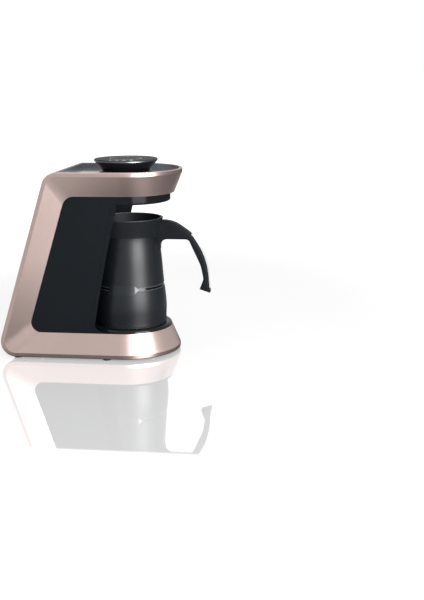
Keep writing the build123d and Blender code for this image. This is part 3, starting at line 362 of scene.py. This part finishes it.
def pot_enamel(skin):
    """Satin black coating of the pot, with fine orange peel, turning lines and a bare metal rim."""
    pot = bpy.context.scene.coffee_pot
    x, y, z = skin.axes(POT_AXIS)
    peel = skin.noise(1100.0)
    cloud = skin.noise(18.0, 2.0)
    turning = (z * TURNING_WAVES).sine()
    edge = z.above(COLLAR_TOP + pot.bare_edge)
    facing = skin.node("ShaderNodeSeparateXYZ", Vector=skin.place.other("Normal"))
    inside = (facing * x + facing.other("Y") * y).below(0.0)
    # Painted shade darkens the line in the groove, which is also really polished (lower roughness).
    from_seam = abs(z - (BADGE_LOW.z + BADGE_HIGH.z) / 2)
    seam = from_seam.below(pot.seam / 2)
    # Painted highlight: the groove's lips are paler to imitate their lit edges.
    painted_lip_highlight = from_seam.above(pot.seam / 2) * from_seam.below(pot.seam * LIP_HIGHLIGHT_REACH)
    outer = skin.blend(painted_lip_highlight * 0.5, skin.blend(seam, coated(skin, cloud), tint(pot.coating, 0.3)),
                       (0.08, 0.085, 0.09))
    skin.set(Base_Color=skin.blend(edge, outer, (0.20, 0.20, 0.21)), Metallic=edge * 0.95,
             Roughness=pot.coating_rough + peel.swing(0.12) + edge * 0.06 + inside * 0.22
             - seam * 0.20,
             Specular_IOR_Level=pot.coating_shine)
    skin.bump(peel + turning * 0.12, 0.06, 0.00006)


def pot_foot(skin):
    """Coated side of the pot's foot, with its sole left as turned steel."""
    pot = bpy.context.scene.coffee_pot
    radius, z = skin.about_axis(POT_AXIS)
    ring = skin.turned(radius)
    peel = skin.noise(1100.0)
    sole = z.below(POT_SOLE + pot.sole_edge)
    skin.set(Base_Color=skin.blend(sole, coated(skin, peel),
                                   skin.blend(ring, STEEL_DARK, STEEL_PALE)),
             Metallic=sole, Roughness=pot.coating_rough + peel.swing(0.12) - sole * 0.04,
             Specular_IOR_Level=pot.coating_shine)
    skin.bump(peel * (1.0 - sole) * 0.5 + ring * sole, 0.10, 0.00005)


def soft_black(skin):
    """Fine-grained black of the collar and handle."""
    grain = skin.cells(3400.0)
    fine = skin.noise(2400.0)
    wear = skin.noise(35.0, 4.0)
    skin.set(Base_Color=skin.blend(wear, (0.0050, 0.0060, 0.0072), (0.0100, 0.0115, 0.0132)),
             Roughness=0.46 + fine.swing(0.18) + wear.swing(0.08), Specular_IOR_Level=0.06)
    skin.bump(grain + fine * 0.5, 0.09, 0.00005)


def badge_satin(skin):
    """Dark plate, left bare, with a fine drawn grain and a bright bevelled point at its front."""
    pot = bpy.context.scene.coffee_pot
    y = skin.axes(BADGE_LOW)[1]
    tip = y.below(pot.badge_point)
    drawn = skin.noise(1500.0, 2.0, stretch=(1.0, 0.08, 1.0))
    mist = skin.noise(90.0)
    plate = skin.blend(mist * 0.5 + drawn * 0.5, (0.004, 0.0045, 0.0055), (0.012, 0.013, 0.016))
    rim = (y - (BADGE_HIGH.y - BADGE_LOW.y)).above(-BADGE_RIM)
    skin.set(Base_Color=skin.blend(tip, skin.blend(rim, plate, (0.05, 0.052, 0.056)),
                                   (0.115, 0.115, 0.125)),
             Metallic=0.15 + tip * 0.8, Roughness=0.30 + drawn * 0.12 + tip * 0.06)
    skin.bump(drawn, 0.08, 0.00004)


def strip_metal(skin):
    """Pale satin metal of the handle's strip, drawn along its length."""
    drawn = skin.noise(1500.0, 2.0, stretch=(1.0, 0.1, 0.1))
    mist = skin.noise(60.0, 4.0)
    skin.set(Base_Color=skin.blend(mist * 0.5 + drawn * 0.5, (0.76, 0.76, 0.78),
                                   (0.90, 0.90, 0.92)),
             Metallic=0.5, Roughness=0.24 + drawn * 0.12)
    skin.bump(drawn, 0.05, 0.00004)


def smoked_chrome(skin):
    """Dark plating of the ring round the selector's face."""
    hair = skin.noise(1600.0, 2.0, stretch=(1.0, 1.0, 0.1))
    mist = skin.noise(40.0, 4.0)
    skin.set(Base_Color=skin.blend(mist, (0.12, 0.12, 0.13), (0.18, 0.18, 0.19)), Metallic=1.0,
             Roughness=0.26 + hair * 0.08 + mist * 0.04)
    skin.bump(hair, 0.03, 0.00003)


def dial_glass(skin):
    """Dark plate of the selector, greyer towards its edge, under a thin clear coat."""
    radius = skin.about_axis(DIAL_AXIS)[0]
    rim = ((radius - FACE_RIM) * FACE_RIM_RISE).clamped()
    smear = skin.noise(70.0, 5.0, 0.6)
    dust = skin.cells(1500.0).below(0.05)
    skin.set(Base_Color=skin.blend(rim * 0.5 + dust * 0.2, (0.016, 0.017, 0.019),
                                   (0.045, 0.047, 0.050)),
             Roughness=0.30 + smear * 0.14, Specular_IOR_Level=0.02, Coat_Weight=0.035,
             Coat_Roughness=0.06)
    skin.bump(smear, 0.02, 0.00004)


def icon_ink(skin):
    """Pale printed marks on the selector."""
    edge = skin.noise(2500.0)
    skin.set(Base_Color=skin.blend(edge, (0.62, 0.63, 0.64), (0.80, 0.81, 0.82)),
             Roughness=0.38 + edge * 0.1)
    skin.bump(edge, 0.05, 0.00003)


def brushed_steel(skin):
    """Steel turned about the pot's axis, with rings of fine grooves."""
    radius = skin.about_axis(POT_AXIS)[0]
    ring = skin.turned(radius)
    mist = skin.noise(30.0)
    skin.set(Base_Color=skin.blend(mist * 0.5 + ring * 0.5, STEEL_DARK, STEEL_PALE),
             Metallic=1.0, Roughness=0.26 + ring * 0.14)
    skin.bump(ring, 0.12, 0.00005)


def cast_plate(skin):
    """Grey coated hotplate with machined rings and a heat-stained middle."""
    radius = skin.about_axis(POT_AXIS)[0]
    groove = (radius * PLATE_WAVES).sine()
    stain = skin.noise(55.0, 5.0)
    heat = (1.0 - radius * PLATE_HEAT_FALL).clamped()
    skin.set(Base_Color=skin.blend(stain * 0.6 + heat * 0.3, (0.045, 0.045, 0.047),
                                   (0.13, 0.115, 0.10)),
             Metallic=0.6, Roughness=0.42 + stain * 0.18)
    skin.bump(groove, 0.25, 0.00008)


def plain_steel(skin):
    """Zinc-bright steel of screws, springs and small pressings."""
    fine = skin.noise(2600.0, 2.0)
    mist = skin.noise(120.0, 4.0)
    skin.set(Base_Color=skin.blend(mist, (0.50, 0.50, 0.52), (0.68, 0.68, 0.70)), Metallic=1.0,
             Roughness=0.28 + fine * 0.14)
    skin.bump(fine, 0.06, 0.00004)


def heater_sheath(skin):
    """Dark annealed sheath of the heating element."""
    scale = skin.noise(420.0, 5.0)
    bloom = skin.noise(60.0)
    skin.set(Base_Color=skin.blend(bloom * 0.7 + scale * 0.3, (0.10, 0.085, 0.075),
                                   (0.26, 0.20, 0.17)),
             Metallic=0.8, Roughness=0.45 + scale * 0.25)
    skin.bump(scale, 0.2, 0.0001)


def circuit_green(skin):
    """Solder-resist green board with copper tracks under it and bright pads."""
    tracks = skin.node("ShaderNodeTexBrick", Vector=skin.place, Color1=(0.1, 0.1, 0.1),
                       Color2=(0.9, 0.9, 0.9), Mortar=(0.0, 0.0, 0.0), Scale=130.0,
                       Mortar_Size=0.08, Brick_Width=0.9, Row_Height=0.35)
    pads = skin.cells(260.0).below(0.10)
    mist = skin.noise(90.0)
    green = skin.blend(tracks, (0.012, 0.085, 0.030), (0.020, 0.14, 0.050))
    skin.set(Base_Color=skin.blend(pads, green, (0.62, 0.60, 0.55)), Metallic=pads * 0.9,
             Roughness=0.30 + mist * 0.15)
    skin.bump(tracks, 0.15, 0.00006)


def moulded_part(skin):
    """Dark potting plastic of the electronic parts."""
    fine = skin.noise(1500.0, 4.0)
    cloud = skin.noise(80.0)
    skin.set(Base_Color=skin.blend(cloud, (0.018, 0.018, 0.020), (0.045, 0.045, 0.048)),
             Roughness=0.48 + fine * 0.2)
    skin.bump(fine, 0.12, 0.00006)


def ivory_plastic(skin):
    """Off-white heat-proof plastic of the terminals and the fuse's sleeve."""
    fine = skin.noise(1300.0, 4.0)
    cloud = skin.noise(60.0)
    skin.set(Base_Color=skin.blend(cloud, (0.66, 0.63, 0.56), (0.78, 0.76, 0.70)),
             Roughness=0.45 + fine * 0.2, Subsurface_Weight=0.05)
    skin.bump(fine, 0.10, 0.00006)


def copper_winding(skin):
    """Enamelled copper wire laid in close turns."""
    y, z = skin.axes()[1:]
    turns = (z * WINDING_WAVES + y * WINDING_SLANT).sine()
    mist = skin.noise(150.0)
    skin.set(Base_Color=skin.blend(mist * 0.5 + turns * 0.25 + 0.25, (0.28, 0.10, 0.035),
                                   (0.55, 0.24, 0.10)),
             Metallic=0.85, Roughness=0.30 + mist * 0.2)
    skin.bump(turns, 0.3, 0.0001)


def fin_aluminium(skin):
    """Extruded aluminium of the heat sink with drawing lines."""
    drawn = skin.noise(700.0, 2.0, stretch=(1.0, 0.1, 0.1))
    mist = skin.noise(80.0)
    skin.set(Base_Color=skin.blend(mist, (0.55, 0.55, 0.56), (0.72, 0.72, 0.73)), Metallic=1.0,
             Roughness=0.32 + drawn * 0.18)
    skin.bump(drawn, 0.12, 0.00005)


def smoked_lens(skin):
    """Deep red lens of the foam sensor."""
    mist = skin.noise(200.0)
    skin.set(Base_Color=skin.blend(mist, (0.035, 0.003, 0.004), (0.08, 0.008, 0.010)),
             Roughness=0.06 + mist * 0.05, Coat_Weight=0.6, Coat_Roughness=0.03)
    skin.bump(mist, 0.02, 0.00003)


def grey_rubber(skin):
    """Soft black rubber with a chalky bloom."""
    chalk = skin.noise(260.0, 5.0)
    fine = skin.noise(2600.0)
    skin.set(Base_Color=skin.blend(chalk, (0.014, 0.014, 0.015), (0.040, 0.040, 0.042)),
             Roughness=0.72 + chalk * 0.2, Specular_IOR_Level=0.3)
    skin.bump(fine, 0.2, 0.00008)


def lead_skin(skin):
    """Insulation of the single leads, brown on one side of the machine and blue on the other."""
    live = skin.axes()[0].above(0.0)
    fine = skin.noise(900.0)
    colour = skin.blend(live, (0.030, 0.055, 0.26), (0.20, 0.060, 0.020))
    skin.set(Base_Color=skin.blend(fine * 0.3, colour, (0.3, 0.3, 0.3)),
             Roughness=0.38 + fine * 0.15)
    skin.bump(fine, 0.08, 0.00006)


def ribbon_grey(skin):
    """Grey ribbon cable with its conductors showing as ribs and a red first conductor."""
    x = skin.axes()[0]
    ribs = abs((x * RIBBON_WAVES).sine())
    marker = x.below(RIBBON_MARKER)
    fine = skin.noise(800.0)
    grey = skin.blend(ribs * 0.7, (0.22, 0.22, 0.23), (0.42, 0.42, 0.44))
    skin.set(Base_Color=skin.blend(marker, grey, (0.45, 0.04, 0.03)),
             Roughness=0.42 + fine * 0.12)
    skin.bump(ribs, 0.5, 0.0003)


# ---------------------------------------------------------------- small trim
def new_piece(name, build, body, maker):
    """Mesh made by build(bmesh), riding on a body and a finish."""
    mesh = bpy.data.meshes.new(name)
    shape = bmesh.new()
    build(shape)
    bmesh.ops.recalc_face_normals(shape, faces=shape.faces)
    shape.to_mesh(mesh)
    shape.free()
    piece = bpy.data.objects.new(name, mesh)
    bpy.context.scene.collection.objects.link(piece)
    mesh.materials.append(finish(maker))
    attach(piece, body)


def ribbon_ring(shape, centre, inner, outer, low, high, start=0.0, sweep=FULL_TURN, steps=48):
    """Closed flat bar bent to an arc, or a whole ring, about the vertical."""
    whole = sweep >= FULL_TURN
    count = steps if whole else steps + 1
    rows = []
    for i in range(count):
        angle = start + sweep * i / steps
        direction = Vector((math.sin(angle), -math.cos(angle), 0.0))
        corners = [(inner, low), (outer, low), (outer, high), (inner, high)]
        rows.append([shape.verts.new(centre + direction * r + Vector((0, 0, z)))
                     for r, z in corners])
    pairs = list(zip(rows, rows[1:])) + ([(rows[-1], rows[0])] if whole else [])
    for one, two in pairs:
        for k in range(4):
            after = (k + 1) % 4
            shape.faces.new([one[k], one[after], two[after], two[k]])
    if not whole:
        shape.faces.new(rows[0])
        shape.faces.new(rows[-1])


def selector_marks(shape):
    """Marks on the face: a cup seen from above for each size, and a thin circle."""
    dial = bpy.context.scene.coffee_selector
    low, high = FACE_TOP - INK_SUNK, FACE_TOP + dial.ink
    for i in range(dial.cups):
        angle = (i - (dial.cups - 1) / 2) * dial.cup_step - FULL_TURN / 4
        outward = Vector((math.sin(angle), -math.cos(angle), 0.0))
        middle = DIAL_AXIS + outward * dial.mark_radius
        size = dial.cup_size * (FIRST_CUP + CUP_GROWTH * i)
        ribbon_ring(shape, middle, size * CUP_WALL, size, low, high, angle + CUP_GAP / 2,
                    FULL_TURN - CUP_GAP, 28)
        ribbon_ring(shape, middle, size * DOT_IN, size * DOT_OUT, low, high, steps=18)
    circle = dial.mark_radius - CIRCLE_INSET
    ribbon_ring(shape, DIAL_AXIS, circle, circle + CIRCLE_LINE, low, high, steps=96)


# ---------------------------------------------------------------- settings
class HousingSettings(bpy.types.PropertyGroup):
    metal: bpy.props.FloatVectorProperty(
        name="Metal", description="Colour of the satin housing", subtype="COLOR", size=3,
        default=(0.58, 0.447, 0.413), min=0.0, max=1.0)
    metal_share: bpy.props.FloatProperty(
        name="Metallic", description="How metallic the lacquer looks", subtype="FACTOR",
        default=0.95, min=0.0, max=1.0)
    metal_rough: bpy.props.FloatProperty(
        name="Metal roughness", description="Roughness of the satin lacquer", subtype="FACTOR",
        default=0.30, min=0.05, max=0.9)
    coat: bpy.props.FloatProperty(
        name="Clear coat", description="Clear coat over the lacquer", subtype="FACTOR",
        default=0.12, min=0.0, max=1.0)
    black: bpy.props.FloatVectorProperty(
        name="Moulding", description="Colour of the black mouldings", subtype="COLOR", size=3,
        default=(0.0042, 0.0060, 0.0077), min=0.0, max=1.0)
    black_shine: bpy.props.FloatProperty(
        name="Moulding shine", description="Specular level of the black mouldings",
        subtype="FACTOR", default=0.08, min=0.0, max=1.0)


class SelectorSettings(bpy.types.PropertyGroup):
    cups: bpy.props.IntProperty(
        name="Cup marks", description="Number of cup sizes marked on the face", default=4, min=1,
        max=8)
    cup_step: bpy.props.FloatProperty(
        name="Step", description="Angle between two cup marks", subtype="ANGLE",
        default=math.radians(16.0), min=math.radians(5.0), max=math.radians(45.0))
    cup_size: bpy.props.FloatProperty(
        name="Mark size", description="Radius that a cup mark's size is reckoned from",
        default=0.0022, min=0.0005, max=0.006, unit="LENGTH")
    mark_radius: bpy.props.FloatProperty(
        name="Mark circle", description="Radius on which the marks stand", default=0.034,
        min=0.02, max=0.04, unit="LENGTH")
    ink: bpy.props.FloatProperty(
        name="Ink height", description="Thickness of the printed marks", default=0.00006,
        min=0.00001, max=0.0005, unit="LENGTH")


class PotSettings(bpy.types.PropertyGroup):
    coating: bpy.props.FloatVectorProperty(
        name="Coating", description="Colour of the pot's black coating", subtype="COLOR", size=3,
        default=(0.0038, 0.0054, 0.0070), min=0.0, max=1.0)
    coating_rough: bpy.props.FloatProperty(
        name="Coating roughness", description="Roughness of the coating", subtype="FACTOR",
        default=0.385, min=0.05, max=0.9)
    coating_shine: bpy.props.FloatProperty(
        name="Coating shine", description="Specular level of the coating", subtype="FACTOR",
        default=0.39, min=0.0, max=1.0)
    bare_edge: bpy.props.FloatProperty(
        name="Bare edge", description="Height over the collar from which the rim is bare metal",
        default=0.0, min=-0.002, max=0.002, unit="LENGTH")
    # Height of the groove's band: real polish, plus painted shade in its colour.
    seam: bpy.props.FloatProperty(
        name="Seam", description="Height of the polished line inside the pot's groove",
        default=0.0030, min=0.0, max=0.006, unit="LENGTH")
    badge_point: bpy.props.FloatProperty(
        name="Badge point", description="Length of the bright point of the plate",
        default=0.0052, min=0.0, max=0.02, unit="LENGTH")
    sole_edge: bpy.props.FloatProperty(
        name="Sole edge", description="Height of the bare steel at the pot's foot",
        default=0.0006, min=0.0, max=0.005, unit="LENGTH")


class StudioSettings(bpy.types.PropertyGroup):
    camera_place: bpy.props.FloatVectorProperty(
        name="Camera place", description="Where the camera stands", size=3,
        subtype="TRANSLATION", default=(-1.28683, -0.31316, 0.37609), unit="LENGTH")
    yaw: bpy.props.FloatProperty(
        name="Yaw", description="Heading of the camera", default=math.radians(7.69),
        subtype="ANGLE")
    pitch: bpy.props.FloatProperty(
        name="Pitch", description="How far the camera looks down", default=math.radians(13.24),
        subtype="ANGLE")
    roll: bpy.props.FloatProperty(
        name="Roll", description="Roll of the camera", default=math.radians(-0.53),
        subtype="ANGLE")
    lens: bpy.props.FloatProperty(
        name="Lens", description="Focal length for a 36 mm long side", default=58.858, min=10.0,
        max=300.0, unit="CAMERA")
    fill: bpy.props.FloatProperty(
        name="Fill", description="Strength of the even light", default=0.50, min=0.0, max=3.0)
    around: bpy.props.FloatProperty(
        name="Around", description="Level of the surroundings seen in gloss", subtype="FACTOR",
        default=0.66, min=0.0, max=1.0)
    floor_mirror: bpy.props.FloatProperty(
        name="Floor mirror", description="Share of mirror in the floor", subtype="FACTOR",
        default=0.58, min=0.0, max=1.0)
    mirror_reach: bpy.props.FloatProperty(
        name="Mirror reach", description="How far out to the viewer's side the floor mirrors",
        default=0.385, min=0.05, max=5.0, unit="LENGTH")
    shade_start: bpy.props.FloatProperty(
        name="Floor turns pale", description="Distance where the floor turns pale in gloss",
        default=0.24, min=0.0, max=2.0, unit="LENGTH")
    shade_end: bpy.props.FloatProperty(
        name="Floor is pale", description="Distance from which the floor is pale in gloss",
        default=0.36, min=0.1, max=5.0, unit="LENGTH")
    # Depth of the painted dark patch on the floor in front, seen only in gloss.
    flag: bpy.props.FloatProperty(
        name="Flag", description="How far a dark flag dims the floor in front in gloss",
        subtype="FACTOR", default=0.88, min=0.0, max=1.0)


# ---------------------------------------------------------------- operators
class DressHousing(bpy.types.Operator):
    """Satin metal on the housing and grained black on its infills."""

    bl_idname = "coffee.dress_housing"
    bl_label = "Dress housing"

    def execute(self, context):
        dress(satin_metal, "outer_frame")
        dress(spark_black, "side_panel_left", "side_panel_right", "bay_liner")
        return {"FINISHED"}


class DressHead(bpy.types.Operator):
    """Gloss mouldings of the head and the board, buzzer and sensor behind them."""

    bl_idname = "coffee.dress_head"
    bl_label = "Dress head"

    def execute(self, context):
        dress(skirt_black, "head_underside")
        dress(tray_black, "top_tray")
        dress(circuit_green, "control_board")
        dress(moulded_part, "buzzer", "overflow_sensor", "dial_encoder")
        dress(smoked_lens, "sensor_window")
        dress(plain_steel, "control_screws")
        return {"FINISHED"}


class DressSelector(bpy.types.Operator):
    """Gloss flare, dark plated ring, dark face and its printed marks."""

    bl_idname = "coffee.dress_selector"
    bl_label = "Dress selector"

    def execute(self, context):
        dress(gloss_black, "dial_body", "dial_trim_ring")
        dress(smoked_chrome, "dial_ring")
        dress(dial_glass, "dial_face", "start_button")
        dress(plain_steel, "encoder_shaft", "button_spring")
        new_piece("selector_marks", selector_marks, "dial", icon_ink)
        return {"FINISHED"}


class DressSeat(bpy.types.Operator):
    """Gloss seat, coated hotplate and the heater under it."""

    bl_idname = "coffee.dress_seat"
    bl_label = "Dress seat"

    def execute(self, context):
        dress(seat_black, "seat_ring")
        dress(cast_plate, "hotplate")
        dress(brushed_steel, "temperature_probe", "heater_pan")
        dress(plain_steel, "plate_studs", "probe_guide", "probe_spring", "fuse_clip")
        dress(heater_sheath, "heating_element")
        dress(ivory_plastic, "thermal_fuse")
        return {"FINISHED"}


class DressPot(bpy.types.Operator):
    """Coated pot and foot, grained collar and handle, pale strip and bare plate."""

    bl_idname = "coffee.dress_pot"
    bl_label = "Dress pot"

    def execute(self, context):
        dress(pot_enamel, "pot_body")
        dress(pot_foot, "pot_base")
        dress(soft_black, "pot_collar", "pot_handle")
        dress(strip_metal, "handle_strip")
        dress(plain_steel, "handle_screws")
        dress(badge_satin, "pot_badge")
        return {"FINISHED"}


class DressInside(bpy.types.Operator):
    """Board, parts and wiring inside the spine."""

    bl_idname = "coffee.dress_inside"
    bl_label = "Dress inside"

    def execute(self, context):
        dress(circuit_green, "power_board")
        dress(plain_steel, "board_screws")
        dress(copper_winding, "power_transformer")
        dress(moulded_part, "heater_relay", "filter_capacitor")
        dress(ivory_plastic, "terminal_block")
        dress(fin_aluminium, "heat_sink")
        dress(lead_skin, "mains_leads", "heater_leads")
        dress(ribbon_grey, "control_cable")
        return {"FINISHED"}


class DressUnderside(bpy.types.Operator):
    """Grained cover, feet, screws and the inlet's gland."""

    bl_idname = "coffee.dress_underside"
    bl_label = "Dress underside"

    def execute(self, context):
        dress(spark_black, "bottom_cover")
        dress(grey_rubber, "rubber_feet")
        dress(plain_steel, "cover_screws")
        dress(soft_black, "cord_gland")
        return {"FINISHED"}


def light_path(looks):
    """Whether a ray comes from the camera, and whether through gloss or glass."""
    seen = looks.node("ShaderNodeLightPath", out="Is Camera Ray")
    return seen, seen.other("Is Glossy Ray").larger(seen.other("Is Transmission Ray"))


def floor_look(name, studio):
    """White floor that mirrors the part and keeps its shadow; in gloss it glows with painted shade
    close by and a painted dark patch in front.
    """
    paint = bpy.data.materials.new(name)
    paint.use_nodes = True
    looks = Looks(paint.node_tree)
    seen, gloss = light_path(looks)
    x = looks.node("ShaderNodeSeparateXYZ", Vector=looks.node("ShaderNodeTexCoord", out="Object"))
    y = x.other("Y")
    along = (y - POT_AXIS.y) * DEPTH_WEIGHT
    gap = (x * x + along * along).root()
    # Painted shade: to gloss rays the floor glows darker close to the part and paler further out.
    pale = ((gap - studio.shade_start) / (studio.shade_end - studio.shade_start)).clamped().eased()
    # Painted shade: a dark patch on the floor in front that only gloss rays see; no flag stands
    # there.
    painted_flag_shade = ((-y - PAINTED_FLAG_START) * PAINTED_FLAG_RISE).clamped() * studio.flag
    far = (gap - FAR_START).clamped().eased()
    level = seen * (GLOW + far * FAR_GLOW) + gloss * pale * studio.around * (1.0 - painted_flag_shade)
    matte = looks.node("ShaderNodeBsdfPrincipled", Base_Color=(0.80, 0.80, 0.80), Roughness=0.7,
                       Specular_IOR_Level=0.1)
    glow = looks.node("ShaderNodeEmission", Strength=level)
    lit = looks.node("ShaderNodeMixShader", i0=seen * GLOW_SHARE + gloss, i1=matte, i2=glow)
    mirror = looks.node("ShaderNodeBsdfGlossy", Color=(1, 1, 1), Roughness=0.03)
    reach = ((studio.mirror_reach + x) * MIRROR_RISE).clamped().eased()
    skim = looks.node("ShaderNodeFresnel", IOR=1.5) * SKIM_SHARE
    share = reach * (1.0 - far) * (seen * studio.floor_mirror + gloss * skim)
    both = looks.node("ShaderNodeMixShader", i0=share, i1=lit, i2=mirror)
    looks.node("ShaderNodeOutputMaterial", Surface=both)
    return paint


class LayStage(bpy.types.Operator):
    """Plain white floor, soft light from all round and the camera."""

    bl_idname = "coffee.lay_stage"
    bl_label = "Lay stage"

    def execute(self, context):
        scene = context.scene
        studio = scene.coffee_studio
        self.floor(scene, studio)
        self.world(scene, studio)
        for lamp in LAMPS:
            self.soft_box(scene, *lamp)
        self.camera(scene, studio)
        scene.view_settings.view_transform = "Standard"
        return {"FINISHED"}

    @staticmethod
    def floor(scene, studio):
        mesh = bpy.data.meshes.new("studio_floor")
        shape = bmesh.new()
        bmesh.ops.create_grid(shape, x_segments=1, y_segments=1, size=FLOOR_SIZE)
        shape.to_mesh(mesh)
        shape.free()
        plate = bpy.data.objects.new("studio_floor", mesh)
        scene.collection.objects.link(plate)
        mesh.materials.append(floor_look("studio_floor", studio))

    @staticmethod
    def world(scene, studio):
        scene.world = bpy.data.worlds.new("studio_world")
        scene.world.use_nodes = True
        sky = Looks(scene.world.node_tree)
        seen, gloss = light_path(sky)
        level = seen + gloss * studio.around + (1.0 - seen) * (1.0 - gloss) * studio.fill
        back = sky.node("ShaderNodeBackground", Color=(1, 1, 1), Strength=level)
        sky.node("ShaderNodeOutputWorld", Surface=back)

    @staticmethod
    def soft_box(scene, name, place, width, height, watts):
        lamp = bpy.data.lights.new(name, "AREA")
        lamp.shape = "RECTANGLE"
        lamp.size = width
        lamp.size_y = height
        lamp.energy = watts
        held = bpy.data.objects.new(name, lamp)
        held.location = place
        held.rotation_euler = (LAMP_AIM - Vector(place)).to_track_quat("-Z", "Y").to_euler()
        scene.collection.objects.link(held)

    @staticmethod
    def camera(scene, studio):
        lens = bpy.data.cameras.new("view_camera")
        lens.sensor_width = 36.0
        lens.lens = studio.lens
        lens.clip_start = 0.01
        held = bpy.data.objects.new("view_camera", lens)
        scene.collection.objects.link(held)
        yaw, pitch, roll = studio.yaw, studio.pitch, studio.roll
        ahead = Vector((math.cos(pitch) * math.cos(yaw), math.cos(pitch) * math.sin(yaw),
                        -math.sin(pitch)))
        right = ahead.cross(Vector((0, 0, 1))).normalized()
        up = right.cross(ahead)
        turned_right = right * math.cos(roll) + up * math.sin(roll)
        turned_up = up * math.cos(roll) - right * math.sin(roll)
        held.matrix_world = Matrix.Translation(studio.camera_place) @ Matrix(
            (turned_right, turned_up, -ahead)).transposed().to_4x4()
        scene.camera = held


class CoffeePanel(bpy.types.Panel):
    """Lists the steps and the settings."""

    bl_idname = "VIEW3D_PT_coffee_maker"
    bl_label = "Coffee maker"
    bl_space_type = "VIEW_3D"
    bl_region_type = "UI"
    bl_category = "Coffee maker"

    def draw(self, context):
        layout = self.layout
        for step in STEPS:
            layout.operator(step.bl_idname)
        for group, settings in SETTINGS.items():
            box = layout.box()
            for key in settings.__annotations__:
                box.prop(getattr(context.scene, group), key)


SETTINGS = {
    "coffee_housing": HousingSettings,
    "coffee_selector": SelectorSettings,
    "coffee_pot": PotSettings,
    "coffee_studio": StudioSettings,
}
STEPS = (DressHousing, DressHead, DressSelector, DressSeat, DressPot, DressInside,
         DressUnderside, LayStage)
CLASSES = (*SETTINGS.values(), *STEPS, CoffeePanel)


def register():
    for item in CLASSES:
        bpy.utils.register_class(item)
    for group, settings in SETTINGS.items():
        setattr(bpy.types.Scene, group, bpy.props.PointerProperty(type=settings))


def unregister():
    for group in SETTINGS:
        delattr(bpy.types.Scene, group)
    for item in reversed(CLASSES):
        bpy.utils.unregister_class(item)


def main():
    """Dresses the part and lays the stage."""
    register()
    for step in STEPS:
        group, name = step.bl_idname.split(".")
        getattr(getattr(bpy.ops, group), name)()


if __name__ == "__main__":
    main()
